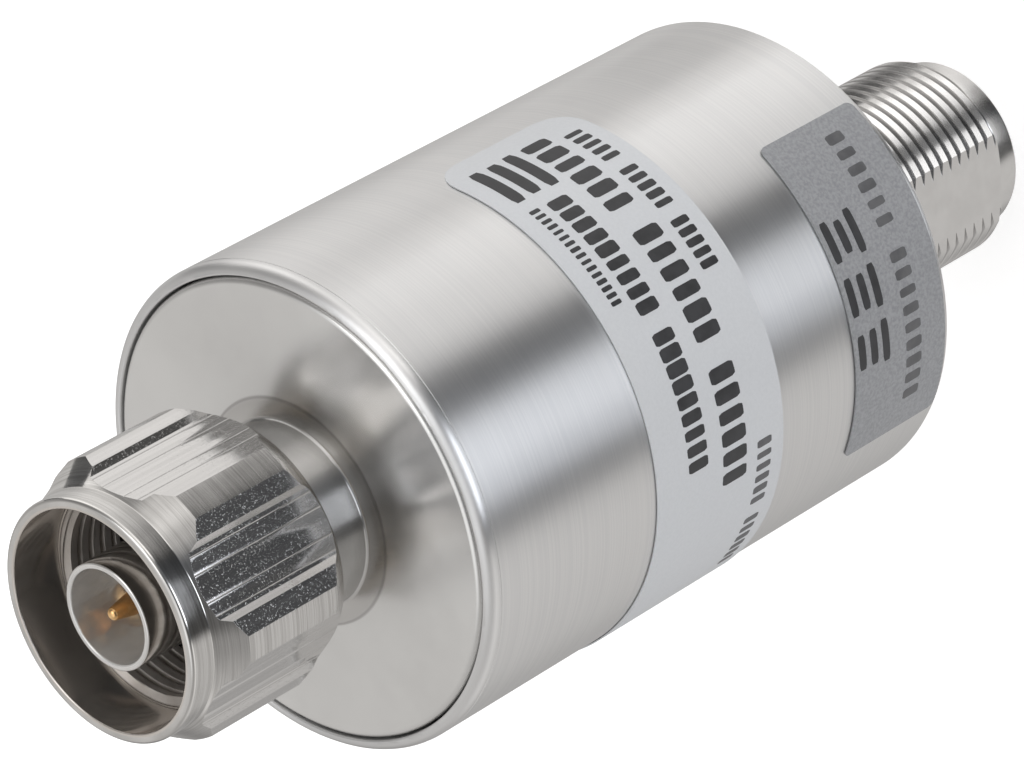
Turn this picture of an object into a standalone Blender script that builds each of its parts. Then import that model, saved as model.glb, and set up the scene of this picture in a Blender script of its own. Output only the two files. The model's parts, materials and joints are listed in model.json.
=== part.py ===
"""A coax lightning arrestor: a round housing with an N plug at one end and an N jack at the other.

Run it with blender --background --python part.py, or from Blender's text editor. Sizes are in
metres and +Z is up. The arrestor stands on the jack's open end, so the plug points up.
"""

import math

import bmesh
import bpy
from mathutils import Matrix, Vector

MM = 0.001

# Connector interface, which both ends share
THREAD_RADIUS = 7.9 * MM
LINE_BORE = 3.5 * MM
CONTACT_RADIUS = 1.52 * MM
CONTACT_STEM = 0.75 * MM
FERRULE_WALL = 0.45 * MM

# Housing: a turned cup, open towards the plug
HOUSING_RADIUS = 18.2 * MM
HOUSING_LENGTH = 48.6 * MM
HOUSING_WALL = 1.8 * MM
RIM_WALL = 0.9 * MM
REAR_WALL = 3.5 * MM
RIM_EDGE_RADIUS = 0.75 * MM
REAR_EDGE_RADIUS = 0.5 * MM

# Front cap: a disc with the plug's neck on it
CAP_THICKNESS = 4.0 * MM
CAP_CHAMFER = 0.4 * MM
CAP_GROOVE_WIDTH = 1.6 * MM
CAP_GROOVE_DEPTH = 1.2 * MM
CAP_BOSS_LENGTH = 3.0 * MM
CAP_BOSS_WALL = 3.0 * MM
PAD_WIDTH = 1.5 * MM
PAD_HEIGHT = 0.15 * MM
NECK_FILLET = 0.35 * MM

# Plug
FERRULE_REACH = 18.0 * MM
FERRULE_SEAT_DEPTH = 3.0 * MM
FERRULE_EDGE = 0.1 * MM
GASKET_THICKNESS = 1.2 * MM
GASKET_INSET = 0.3 * MM
PIN_RADIUS = 0.8 * MM
PIN_TIP_RADIUS = 0.42 * MM
PIN_POINT = 1.9 * MM
PIN_RECESS = 0.3 * MM
PIN_REACH = 5.1 * MM
PIN_TAPER = 0.5 * MM
PLUG_BEAD_DEPTH = 8.0 * MM
BEAD_LENGTH = 4.0 * MM

# Coupling nut: turned from drawn hexagon bar with a recess along each flat
NUT_LENGTH = 14.2 * MM
NUT_LEAD = 0.8 * MM
NUT_RIM_WALL = 0.78 * MM
NUT_MOUTH_GAP = 0.27 * MM
NUT_MOUTH_DEPTH = 4.2 * MM
NUT_THREAD_LENGTH = 5.1 * MM
NUT_THREAD_DEPTH = 0.48 * MM
NUT_RELIEF_LENGTH = 1.6 * MM
NUT_RELIEF_GAP = 0.15 * MM
NUT_COLLAR_LENGTH = 1.9 * MM
NUT_CONE_LENGTH = 2.0 * MM
NUT_LIP = 1.0 * MM
NUT_EDGE_RADIUS = 0.25 * MM
COLLAR_STEP = 0.17 * MM
RECESS_DEPTH = 0.33 * MM
RECESS_HALF_WIDTH = 2.88 * MM
RECESS_SLOPE_WIDTH = 0.38 * MM
CORNER_RISE = 0.92 * MM
CORNER_AZIMUTH = math.radians(-4.4)
NECK_STEP = 0.52 * MM

# Snap ring that keeps the nut on the neck
SNAP_THICKNESS = 0.8 * MM
SNAP_PLAY = 0.2 * MM
SNAP_DEPTH = 0.65 * MM
SNAP_SPLIT = 3.0 * MM
NECK_LAND = 1.0 * MM

# Jack
JACK_REACH = 22.3 * MM
JACK_FLAT = 7.05 * MM
JACK_RING_LENGTH = 2.1 * MM
JACK_RING_STEP = 1.05 * MM
JACK_THREAD_LEAD = 0.65 * MM
JACK_EDGE_RADIUS = 0.25 * MM
JACK_MOUTH_CHAMFER = 0.3 * MM
JACK_BORE_DEPTH = 9.1 * MM
FLANGE_THICKNESS = 2.5 * MM
FLANGE_GAP = 0.4 * MM
JACK_TAIL_LENGTH = 2.7 * MM
JACK_TAIL_WALL = 2.0 * MM
SOCKET_RECESS = 5.0 * MM
SOCKET_HOLE = 0.84 * MM
SOCKET_HOLE_DEPTH = 5.5 * MM
SOCKET_SLOT_WIDTH = 0.3 * MM
SOCKET_SLOT_LENGTH = 4.5 * MM
SOCKET_TIP_RADIUS = 0.25 * MM
JACK_BEAD_START = 12.0 * MM
SEAL_GROOVE_OFFSET = 0.35 * MM
SEAL_GROOVE_WIDTH = 1.2 * MM
SEAL_GROOVE_DEPTH = 1.1 * MM

# Fasteners
SCREW_RADIUS = 0.95 * MM
SCREW_HEAD_RADIUS = 1.9 * MM
SCREW_HEAD_HEIGHT = 1.4 * MM
SCREW_LENGTH = 4.6 * MM
SCREW_SOCKET_FLATS = 1.6 * MM
SCREW_SOCKET_DEPTH = 0.8 * MM
CLIP_SCREW_RADIUS = 0.75 * MM
CLIP_SCREW_HEAD_RADIUS = 1.5 * MM
CLIP_SCREW_LENGTH = 3.0 * MM
TAP_SPARE = 0.4 * MM
STANDOFF_SHARE = 0.36
STANDOFF_FLATS = 3.5 * MM
STANDOFF_STUD = 2.2 * MM
FASTENER_AZIMUTHS = [math.radians(90 + 120 * turn) for turn in range(3)]
FLANGE_SCREW_AZIMUTHS = [math.radians(30 + 120 * turn) for turn in range(3)]

# Circuit
BOARD_GAP = 0.5 * MM
BOARD_THICKNESS = 1.6 * MM
CONTACT_PROUD = 1.4 * MM
LEAD_RADIUS = 0.35 * MM
LEAD_PROUD = 0.8 * MM
BLOCK_HEIGHT = 7.5 * MM
BLOCK_WALL = 0.5 * MM
BLOCK_WIDTH = 7.0 * MM
BLOCK_GAP = 0.4 * MM
PIN_SEAT_DEPTH = 3.0 * MM
TUBE_RADIUS = 4.0 * MM
TUBE_LENGTH = 4.4 * MM
TUBE_WALL = 1.3 * MM
ELECTRODE_THICKNESS = 0.9 * MM
ELECTRODE_BOSS_LENGTH = 1.5 * MM
CLIP_THICKNESS = 0.5 * MM
CLIP_WIDTH = 6.0 * MM
CLIP_END_GAP = 0.8 * MM
CLIP_BEND = 0.6 * MM
COIL_OFFSET = -4.5 * MM
COIL_RADIUS = 3.0 * MM
COIL_WIRE = 0.4 * MM
COIL_TURNS = 7.5
COIL_LEAD = 2.0 * MM
COIL_SEAT_DEPTH = 1.5 * MM
CAPACITOR_SIZE = (7.0 * MM, 4.0 * MM, 5.0 * MM)
CAPACITOR_PLACE = (5.5 * MM, 4.6 * MM)
VARISTOR_RADIUS = 2.9 * MM
VARISTOR_THICKNESS = 2.2 * MM
VARISTOR_PLACE = (-6.6 * MM, 7.0 * MM)
DIODE_RADIUS = 1.6 * MM
DIODE_LENGTH = 5.6 * MM
DIODE_INSET = 6.3 * MM
LEAD_OVERHANG = 1.6 * MM
LEAD_PITCH = 5.0 * MM

# Labels: places along the housing, and stretches round it from the jack's flat
MAIN_LABEL_PLACE = 0.3416
MAIN_LABEL_WIDTH = 13.3 * MM
MAIN_LABEL_FROM = math.radians(-94.0)
MAIN_LABEL_TO = math.radians(94.5)
MAIN_LABEL_CORNER = 2.7 * MM
SIDE_LABEL_INSET = 0.7 * MM
SIDE_LABEL_WIDTH = 10.0 * MM
SIDE_LABEL_FROM = math.radians(-26.4)
SIDE_LABEL_TO = math.radians(53.6)
SIDE_LABEL_CORNER = 0.6 * MM
LABEL_THICKNESS = 0.12 * MM

# Clearances
SEAT_GAP = 0.05 * MM
PRESS_GAP = 0.05 * MM
RUNNING_GAP = 0.3 * MM
CAP_GAP = 0.25 * MM
HOLE_GAP = 0.15 * MM
THREAD_HOLE_GAP = 0.3 * MM
RUBBER_GAP = 0.05 * MM

# Roundness
BODY_STEPS = 48
CONNECTOR_STEPS = 32
CONTACT_STEPS = 20
SMALL_STEPS = 12
ARC_STEPS = 2
CORD_SIDES = 6
CUT_MARGIN = 1.0 * MM

# Stations along Z, from the jack's open end
REAR_FACE = JACK_REACH
FLOOR = REAR_FACE + REAR_WALL
RIM_FACE = REAR_FACE + HOUSING_LENGTH
CAP_BOTTOM = RIM_FACE - CAP_THICKNESS
SHELF = CAP_BOTTOM - SEAT_GAP
CAP_BOSS_BOTTOM = CAP_BOTTOM - CAP_BOSS_LENGTH
FERRULE_FRONT = RIM_FACE + FERRULE_REACH
NUT_FRONT = FERRULE_FRONT + NUT_LEAD
NUT_REAR = NUT_FRONT - NUT_LENGTH
SNAP_GROOVE_WIDTH = SNAP_THICKNESS + SNAP_PLAY
SNAP_MIDDLE = NUT_REAR + NUT_LIP + RUNNING_GAP / 2 + SNAP_GROOVE_WIDTH / 2
SHOULDER = SNAP_MIDDLE + SNAP_GROOVE_WIDTH / 2 + NECK_LAND
FLANGE_BOTTOM = FLOOR + SEAT_GAP
FLANGE_TOP = FLANGE_BOTTOM + FLANGE_THICKNESS
JACK_TAIL_TOP = FLANGE_TOP + JACK_TAIL_LENGTH
BLOCK_TOP = CAP_BOSS_BOTTOM - BLOCK_GAP
BLOCK_BOTTOM = BLOCK_TOP - BLOCK_HEIGHT
STANDOFF_LENGTH = STANDOFF_SHARE * (BLOCK_BOTTOM - FLANGE_TOP)
BOARD_BOTTOM = FLANGE_TOP + STANDOFF_LENGTH + 2 * SEAT_GAP
BOARD_TOP = BOARD_BOTTOM + BOARD_THICKNESS
MAIN_LABEL_TOP = RIM_FACE - MAIN_LABEL_PLACE * HOUSING_LENGTH
SIDE_LABEL_TOP = REAR_FACE + SIDE_LABEL_INSET + SIDE_LABEL_WIDTH

# Radii that follow from the interface and the clearances
FERRULE_RADIUS = LINE_BORE + FERRULE_WALL
FERRULE_SEAT = FERRULE_RADIUS + PRESS_GAP
JACK_BORE = FERRULE_RADIUS + HOLE_GAP
RING_RADIUS = THREAD_RADIUS - JACK_RING_STEP
NUT_THREAD_BORE = THREAD_RADIUS - NUT_THREAD_DEPTH
NECK_RADIUS = NUT_THREAD_BORE - NECK_STEP
NUT_MOUTH = THREAD_RADIUS + NUT_MOUTH_GAP
NUT_COLLAR = NUT_MOUTH + NUT_RIM_WALL
NUT_FLAT = NUT_COLLAR + COLLAR_STEP + RECESS_DEPTH
NUT_CORNER = NUT_FLAT + CORNER_RISE
NUT_REAR_BORE = NECK_RADIUS + RUNNING_GAP
CAP_SEAT = HOUSING_RADIUS - RIM_WALL
CAP_RADIUS = CAP_SEAT - CAP_GAP
HOUSING_BORE = HOUSING_RADIUS - HOUSING_WALL
FLANGE_RADIUS = HOUSING_BORE - FLANGE_GAP
BOARD_RADIUS = HOUSING_BORE - BOARD_GAP
SEAL_GROOVE_INNER = THREAD_RADIUS + THREAD_HOLE_GAP + SEAL_GROOVE_OFFSET
SEAL_GROOVE_OUTER = SEAL_GROOVE_INNER + SEAL_GROOVE_WIDTH
FASTENER_CIRCLE = (SEAL_GROOVE_OUTER + FLANGE_RADIUS) / 2
SCREW_HOLE = SCREW_RADIUS + HOLE_GAP
CLIP_SCREW_HOLE = CLIP_SCREW_RADIUS + HOLE_GAP
CONTACT_SEAT = CONTACT_RADIUS + PRESS_GAP


def material(name, colour, roughness, metallic):
    made = bpy.data.materials.new(name)
    made.use_nodes = True
    shader = made.node_tree.nodes["Principled BSDF"]
    shader.inputs["Base Color"].default_value = (*colour, 1)
    shader.inputs["Roughness"].default_value = roughness
    shader.inputs["Metallic"].default_value = metallic
    return made


def clear_scene():
    for obj in list(bpy.data.objects):
        bpy.data.objects.remove(obj)


def new_collection(name):
    made = bpy.data.collections.new(name)
    bpy.context.scene.collection.children.link(made)
    return made


def place(name, data, location=(0, 0, 0), rotation=(0, 0, 0)):
    """Puts a sub-part into the arrestor's collection, under its empty."""
    obj = bpy.data.objects.new(name, data)
    obj.location = location
    obj.rotation_euler = rotation
    obj.parent = ROOT
    PARTS.objects.link(obj)
    return obj


def finish(obj, surface):
    obj.data.materials.append(surface)
    return obj


def cutter(obj):
    """Turns an object into a tool for Booleans, which no render shows."""
    PARTS.objects.unlink(obj)
    CUTTERS.objects.link(obj)
    obj.hide_render = True
    obj.display_type = "WIRE"
    return obj


def boolean(target, tool, operation="DIFFERENCE"):
    step = target.modifiers.new(tool.name, "BOOLEAN")
    step.operation = operation
    step.solver = "EXACT"
    step.object = tool
    return target


def frozen_mesh(obj):
    """The object's mesh with its modifiers applied. The object itself is removed."""
    graph = bpy.context.evaluated_depsgraph_get()
    mesh = bpy.data.meshes.new_from_object(obj.evaluated_get(graph))
    bpy.data.objects.remove(obj)
    return mesh


def rounded(corners):
    """Corners as (across, along) or (across, along, radius), each radius drawn as an arc."""
    points = []
    for index, corner in enumerate(corners):
        here = Vector(corner[:2])
        if len(corner) == 2:
            points.append(here)
            continue
        back = (Vector(corners[index - 1][:2]) - here).normalized()
        ahead = (Vector(corners[(index + 1) % len(corners)][:2]) - here).normalized()
        half = back.angle(ahead) / 2
        centre = here + (back + ahead).normalized() * corner[2] / math.sin(half)
        start = here + back * corner[2] / math.tan(half) - centre
        end = here + ahead * corner[2] / math.tan(half) - centre
        turn = -start.angle_signed(end)
        for step in range(ARC_STEPS + 1):
            points.append(centre + Matrix.Rotation(turn * step / ARC_STEPS, 2) @ start)
    return points


def turned(name, corners, steps, location=(0, 0, 0), rotation=(0, 0, 0)):
    """A shape turned about Z. Its outline runs down the outer side, and closes unless it ends on Z."""
    outline = rounded(corners)
    work = bmesh.new()
    points = [work.verts.new((across, 0, along)) for across, along in outline]
    for first, second in zip(points, points[1:]):
        work.edges.new((first, second))
    if corners[0][0] > 0:
        work.edges.new((points[-1], points[0]))
    mesh = bpy.data.meshes.new(name)
    work.to_mesh(mesh)
    work.free()
    obj = place(name, mesh, location, rotation)
    screw = obj.modifiers.new("Turn", "SCREW")
    screw.steps = steps
    screw.render_steps = steps
    screw.use_merge_vertices = True
    screw.merge_threshold = 0.001 * MM
    return obj


def drums(name, centres, radius, bottom, top, steps):
    """Upright cylinders in one mesh."""
    work = bmesh.new()
    for across, along in centres:
        middle = Matrix.Translation((across, along, (bottom + top) / 2))
        ends = {"radius1": radius, "radius2": radius, "depth": top - bottom}
        bmesh.ops.create_cone(work, cap_ends=True, segments=steps, matrix=middle, **ends)
    mesh = bpy.data.meshes.new(name)
    work.to_mesh(mesh)
    work.free()
    return place(name, mesh)


def box(name, low, high):
    work = bmesh.new()
    size = Vector(high) - Vector(low)
    middle = (Vector(high) + Vector(low)) / 2
    bmesh.ops.create_cube(work, size=1, matrix=Matrix.Translation(middle) @ Matrix.Diagonal((*size, 1)))
    mesh = bpy.data.meshes.new(name)
    work.to_mesh(mesh)
    work.free()
    return place(name, mesh)


def outline_solid(name, points, height, location=(0, 0, 0), rotation=(0, 0, 0)):
    """A flat outline made into a plate of the given height, with its middle in the local XY plane."""
    curve = bpy.data.curves.new(name, "CURVE")
    curve.dimensions = "2D"
    curve.fill_mode = "BOTH"
    curve.extrude = height / 2
    spline = curve.splines.new("POLY")
    spline.points.add(len(points) - 1)
    for point, (across, along) in zip(spline.points, points):
        point.co = (across, along, 0, 1)
    spline.use_cyclic_u = True
    mesh = frozen_mesh(place(name, curve))
    work = bmesh.new()
    work.from_mesh(mesh)
    bmesh.ops.remove_doubles(work, verts=work.verts, dist=0.001 * MM)
    bmesh.ops.recalc_face_normals(work, faces=work.faces)
    work.to_mesh(mesh)
    work.free()
    return place(name, mesh, location, rotation)


def wire(name, points, radius):
    curve = bpy.data.curves.new(name, "CURVE")
    curve.dimensions = "3D"
    curve.bevel_depth = radius
    curve.bevel_resolution = 1
    curve.use_fill_caps = True
    spline = curve.splines.new("POLY")
    spline.points.add(len(points) - 1)
    for point, spot in zip(spline.points, points):
        point.co = (*spot, 1)
    return place(name, curve)


def on_circle(radius, azimuths):
    return [(radius * math.cos(azimuth), radius * math.sin(azimuth)) for azimuth in azimuths]


def ring_cord(name, middle, height, section):
    """A rubber ring of round section."""
    corners = [
        (middle + section * math.cos(turn), height + section * math.sin(turn))
        for turn in [-math.tau * step / CORD_SIDES for step in range(CORD_SIDES)]
    ]
    return finish(turned(name, corners, CONNECTOR_STEPS), RUBBER)


def d_outline(radius, flat):
    """A circle cut off by a chord on its -Y side."""
    half = math.acos(flat / radius)
    stretch = math.tau - 2 * half
    angles = [half - math.pi / 2 + stretch * step / CONNECTOR_STEPS for step in range(CONNECTOR_STEPS + 1)]
    return on_circle(radius, angles)


def make_housing():
    groove_floor = FLOOR - SEAL_GROOVE_DEPTH
    corners = [
        (0, FLOOR),
        (SEAL_GROOVE_INNER, FLOOR),
        (SEAL_GROOVE_INNER, groove_floor),
        (SEAL_GROOVE_OUTER, groove_floor),
        (SEAL_GROOVE_OUTER, FLOOR),
        (HOUSING_BORE, FLOOR),
        (HOUSING_BORE, SHELF),
        (CAP_SEAT, SHELF),
        (CAP_SEAT, RIM_FACE),
        (HOUSING_RADIUS, RIM_FACE, RIM_EDGE_RADIUS),
        (HOUSING_RADIUS, REAR_FACE, REAR_EDGE_RADIUS),
        (0, REAR_FACE),
    ]
    housing = finish(turned("housing", corners, BODY_STEPS), ALUMINIUM)
    hole = d_outline(THREAD_RADIUS + THREAD_HOLE_GAP, JACK_FLAT + THREAD_HOLE_GAP)
    middle = (0, 0, (REAR_FACE + FLOOR) / 2)
    boolean(housing, cutter(outline_solid("jack_hole", hole, REAR_WALL + CUT_MARGIN, middle)))
    tapped_depth = SCREW_LENGTH - FLANGE_THICKNESS + TAP_SPARE
    centres = on_circle(FASTENER_CIRCLE, FLANGE_SCREW_AZIMUTHS)
    taps = drums("wall_taps", centres, SCREW_HOLE, FLOOR - tapped_depth, FLOOR + CUT_MARGIN, SMALL_STEPS)
    boolean(housing, cutter(taps))


def make_front_cap():
    pad_face = RIM_FACE + PAD_HEIGHT
    snap_top = SNAP_MIDDLE + SNAP_GROOVE_WIDTH / 2
    snap_bottom = SNAP_MIDDLE - SNAP_GROOVE_WIDTH / 2
    snap_floor = NECK_RADIUS - SNAP_DEPTH
    groove_middle = CAP_BOTTOM + CAP_THICKNESS / 2
    groove_top = groove_middle + CAP_GROOVE_WIDTH / 2
    groove_bottom = groove_middle - CAP_GROOVE_WIDTH / 2
    groove_floor = CAP_RADIUS - CAP_GROOVE_DEPTH
    boss = LINE_BORE + CAP_BOSS_WALL
    ferrule_floor = SHOULDER - FERRULE_SEAT_DEPTH
    corners = [
        (FERRULE_SEAT, SHOULDER),
        (NECK_RADIUS, SHOULDER),
        (NECK_RADIUS, snap_top),
        (snap_floor, snap_top),
        (snap_floor, snap_bottom),
        (NECK_RADIUS, snap_bottom),
        (NECK_RADIUS, pad_face, NECK_FILLET),
        (NECK_RADIUS + PAD_WIDTH, pad_face),
        (NECK_RADIUS + PAD_WIDTH, RIM_FACE),
        (CAP_RADIUS - CAP_CHAMFER, RIM_FACE),
        (CAP_RADIUS, RIM_FACE - CAP_CHAMFER),
        (CAP_RADIUS, groove_top),
        (groove_floor, groove_top),
        (groove_floor, groove_bottom),
        (CAP_RADIUS, groove_bottom),
        (CAP_RADIUS, CAP_BOTTOM),
        (boss, CAP_BOTTOM),
        (boss, CAP_BOSS_BOTTOM),
        (LINE_BORE, CAP_BOSS_BOTTOM),
        (LINE_BORE, ferrule_floor),
        (FERRULE_SEAT, ferrule_floor),
    ]
    cap = finish(turned("front_cap", corners, BODY_STEPS), PLATED)
    depth = CLIP_SCREW_LENGTH - CLIP_THICKNESS + TAP_SPARE
    low = CAP_BOTTOM - CUT_MARGIN
    tap = drums("cap_tap", [(CLIP_SCREW_X, 0)], CLIP_SCREW_HOLE, low, CAP_BOTTOM + depth, SMALL_STEPS)
    boolean(cap, cutter(tap))
    section = (CAP_SEAT - groove_floor) / 2 - RUBBER_GAP
    ring_cord("cap_seal", (CAP_SEAT + groove_floor) / 2, groove_middle, section)


def make_plug():
    ferrule_floor = SHOULDER - FERRULE_SEAT_DEPTH + SEAT_GAP
    ferrule = [
        (LINE_BORE, FERRULE_FRONT, FERRULE_EDGE),
        (FERRULE_RADIUS, FERRULE_FRONT, FERRULE_EDGE),
        (FERRULE_RADIUS, ferrule_floor),
        (LINE_BORE, ferrule_floor),
    ]
    finish(turned("plug_ferrule", ferrule, CONNECTOR_STEPS), PLATED)
    gasket_bottom = SHOULDER + SEAT_GAP
    gasket_top = gasket_bottom + GASKET_THICKNESS
    inner = FERRULE_RADIUS + HOLE_GAP
    outer = NECK_RADIUS - GASKET_INSET
    gasket = [(inner, gasket_top), (outer, gasket_top), (outer, gasket_bottom), (inner, gasket_bottom)]
    finish(turned("plug_gasket", gasket, CONNECTOR_STEPS), RUBBER)
    tip = FERRULE_FRONT - PIN_RECESS
    step = tip - PIN_REACH
    stem_top = CAP_BOSS_BOTTOM
    pin = [
        (0, tip),
        (PIN_TIP_RADIUS, tip, PIN_TIP_RADIUS * 0.8),
        (PIN_RADIUS, tip - PIN_POINT),
        (PIN_RADIUS, step),
        (CONTACT_RADIUS, step - PIN_TAPER),
        (CONTACT_RADIUS, stem_top),
        (CONTACT_STEM, stem_top),
        (CONTACT_STEM, BLOCK_TOP - PIN_SEAT_DEPTH + SEAT_GAP),
        (0, BLOCK_TOP - PIN_SEAT_DEPTH + SEAT_GAP),
    ]
    finish(turned("plug_pin", pin, CONTACT_STEPS), GOLD)
    make_bead("plug_bead", FERRULE_FRONT - PLUG_BEAD_DEPTH - BEAD_LENGTH)


def make_bead(name, bottom):
    """The insulator that centres a contact in the line's bore."""
    inner = CONTACT_SEAT
    outer = LINE_BORE - PRESS_GAP
    top = bottom + BEAD_LENGTH
    corners = [(inner, top), (outer, top), (outer, bottom), (inner, bottom)]
    finish(turned(name, corners, CONNECTOR_STEPS), INSULATOR)


def make_snap_ring():
    inner = NECK_RADIUS - SNAP_DEPTH + HOLE_GAP
    outer = NUT_REAR_BORE + SNAP_DEPTH - HOLE_GAP
    top = SNAP_MIDDLE + SNAP_THICKNESS / 2
    bottom = SNAP_MIDDLE - SNAP_THICKNESS / 2
    corners = [(inner, top), (outer, top), (outer, bottom), (inner, bottom)]
    ring = finish(turned("nut_snap_ring", corners, CONNECTOR_STEPS), SPRING_METAL)
    low = (0, -SNAP_SPLIT / 2, bottom - CUT_MARGIN)
    high = (outer + CUT_MARGIN, SNAP_SPLIT / 2, top + CUT_MARGIN)
    boolean(ring, cutter(box("snap_split", low, high)))


def nut_bar_outline():
    """The drawn bar's section: a hexagon with a shallow recess along each flat."""
    corner_half = NUT_FLAT * math.tan(math.pi / 6)
    floor = NUT_FLAT - RECESS_DEPTH
    side = [
        (NUT_FLAT, -corner_half),
        (NUT_FLAT, -RECESS_HALF_WIDTH),
        (floor, RECESS_SLOPE_WIDTH - RECESS_HALF_WIDTH),
        (floor, RECESS_HALF_WIDTH - RECESS_SLOPE_WIDTH),
        (NUT_FLAT, RECESS_HALF_WIDTH),
    ]
    points = []
    for face in range(6):
        facing = Matrix.Rotation(CORNER_AZIMUTH - math.pi / 3 + face * math.pi / 3, 2)
        points += [facing @ Vector(point) for point in side]
    return points


def make_coupling_nut():
    """Turned all over, then met with the bar's section, which leaves the flats between the cones."""
    front = NUT_LENGTH
    cone_front = front - NUT_COLLAR_LENGTH
    mouth_floor = front - NUT_MOUTH_DEPTH
    thread_floor = mouth_floor - NUT_THREAD_LENGTH
    relief_floor = thread_floor - NUT_RELIEF_LENGTH
    relief = THREAD_RADIUS + NUT_RELIEF_GAP
    snap = NUT_REAR_BORE + SNAP_DEPTH
    snap_top = NUT_LIP + SNAP_GROOVE_WIDTH + RUNNING_GAP
    corners = [
        (NUT_MOUTH, front, NUT_EDGE_RADIUS / 2),
        (NUT_COLLAR, front, NUT_EDGE_RADIUS),
        (NUT_COLLAR, cone_front),
        (NUT_CORNER, cone_front - NUT_CONE_LENGTH),
        (NUT_CORNER, NUT_CONE_LENGTH),
        (NUT_COLLAR, 0),
        (NUT_REAR_BORE, 0),
        (NUT_REAR_BORE, NUT_LIP),
        (snap, NUT_LIP),
        (snap, snap_top),
        (NUT_REAR_BORE, snap_top),
        (NUT_REAR_BORE, relief_floor),
        (relief, relief_floor),
        (relief, thread_floor),
        (NUT_THREAD_BORE, thread_floor),
        (NUT_THREAD_BORE, mouth_floor),
        (NUT_MOUTH, mouth_floor),
    ]
    nut = finish(turned("coupling_nut", corners, BODY_STEPS, (0, 0, NUT_REAR)), NICKEL)
    middle = (0, 0, (NUT_REAR + NUT_FRONT) / 2)
    bar = cutter(outline_solid("nut_bar", nut_bar_outline(), NUT_LENGTH + 2 * CUT_MARGIN, middle))
    boolean(nut, bar, "INTERSECT")


def make_jack():
    lead = JACK_RING_LENGTH + JACK_THREAD_LEAD
    tail = LINE_BORE + JACK_TAIL_WALL
    corners = [
        (tail, JACK_TAIL_TOP),
        (tail, FLANGE_TOP),
        (FLANGE_RADIUS, FLANGE_TOP),
        (FLANGE_RADIUS, FLANGE_BOTTOM),
        (THREAD_RADIUS, FLANGE_BOTTOM),
        (THREAD_RADIUS, lead),
        (RING_RADIUS, JACK_RING_LENGTH),
        (RING_RADIUS, 0, JACK_EDGE_RADIUS),
        (JACK_BORE + JACK_MOUTH_CHAMFER, 0),
        (JACK_BORE, JACK_MOUTH_CHAMFER),
        (JACK_BORE, JACK_BORE_DEPTH),
        (LINE_BORE, JACK_BORE_DEPTH),
        (LINE_BORE, JACK_TAIL_TOP),
    ]
    jack = finish(turned("jack_body", corners, CONNECTOR_STEPS), PLATED)
    low = (-THREAD_RADIUS - CUT_MARGIN, -THREAD_RADIUS - CUT_MARGIN, -CUT_MARGIN)
    high = (THREAD_RADIUS + CUT_MARGIN, -JACK_FLAT, FLANGE_BOTTOM)
    boolean(jack, cutter(box("jack_flat", low, high)))
    centres = on_circle(FASTENER_CIRCLE, FASTENER_AZIMUTHS + FLANGE_SCREW_AZIMUTHS)
    low = FLANGE_BOTTOM - CUT_MARGIN
    high = FLANGE_TOP + CUT_MARGIN
    boolean(jack, cutter(drums("flange_holes", centres, SCREW_HOLE, low, high, SMALL_STEPS)))
    section = SEAL_GROOVE_DEPTH / 2 - RUBBER_GAP
    middle = (SEAL_GROOVE_INNER + SEAL_GROOVE_OUTER) / 2
    ring_cord("jack_seal", middle, FLOOR - SEAL_GROOVE_DEPTH / 2, section)


def make_socket():
    top = BOARD_TOP + CONTACT_PROUD
    hole_end = SOCKET_RECESS + SOCKET_HOLE_DEPTH
    corners = [
        (0, top),
        (CONTACT_STEM, top),
        (CONTACT_STEM, JACK_TAIL_TOP),
        (CONTACT_RADIUS, JACK_TAIL_TOP),
        (CONTACT_RADIUS, SOCKET_RECESS, SOCKET_TIP_RADIUS),
        (SOCKET_HOLE, SOCKET_RECESS),
        (SOCKET_HOLE, hole_end),
        (0, hole_end),
    ]
    socket = finish(turned("jack_socket", corners, CONTACT_STEPS), GOLD)
    reach = CONTACT_RADIUS + CUT_MARGIN
    half = SOCKET_SLOT_WIDTH / 2
    low = SOCKET_RECESS - CUT_MARGIN
    high = SOCKET_RECESS + SOCKET_SLOT_LENGTH
    boolean(socket, cutter(box("socket_slot_x", (-reach, -half, low), (reach, half, high))))
    boolean(socket, cutter(box("socket_slot_y", (-half, -reach, low), (half, reach, high))))
    make_bead("jack_bead", JACK_BEAD_START)


def screw_mesh(radius, head, length):
    """A cap screw with its head's seat at the local origin, pointing down."""
    corners = [
        (0, SCREW_HEAD_HEIGHT),
        (head, SCREW_HEAD_HEIGHT),
        (head, 0),
        (radius, 0),
        (radius, -length),
        (0, -length),
    ]
    screw = finish(turned("screw", corners, SMALL_STEPS), STEEL)
    half = SCREW_SOCKET_FLATS / 2
    socket = on_circle(half / math.cos(math.pi / 6), [math.tau * corner / 6 for corner in range(6)])
    middle = (0, 0, SCREW_HEAD_HEIGHT)
    tool = outline_solid("screw_socket", socket, 2 * SCREW_SOCKET_DEPTH, middle)
    boolean(screw, tool)
    mesh = frozen_mesh(screw)
    bpy.data.objects.remove(tool)
    return mesh


def standoff_mesh():
    """A hexagon post with a stud below and a tapped hole above."""
    radius = STANDOFF_FLATS / 2 / math.cos(math.pi / 6)
    post = finish(drums("standoff", [(0, 0)], radius, 0, STANDOFF_LENGTH, 6), BRASS)
    stud = drums("stud", [(0, 0)], SCREW_RADIUS, -STANDOFF_STUD, STANDOFF_FLATS / 4, SMALL_STEPS)
    depth = SCREW_LENGTH - BOARD_THICKNESS + TAP_SPARE
    high = STANDOFF_LENGTH + CUT_MARGIN
    hole = drums("standoff_tap", [(0, 0)], SCREW_HOLE, STANDOFF_LENGTH - depth, high, SMALL_STEPS)
    boolean(post, stud, "UNION")
    boolean(post, hole)
    mesh = frozen_mesh(post)
    bpy.data.objects.remove(stud)
    bpy.data.objects.remove(hole)
    return mesh


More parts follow.
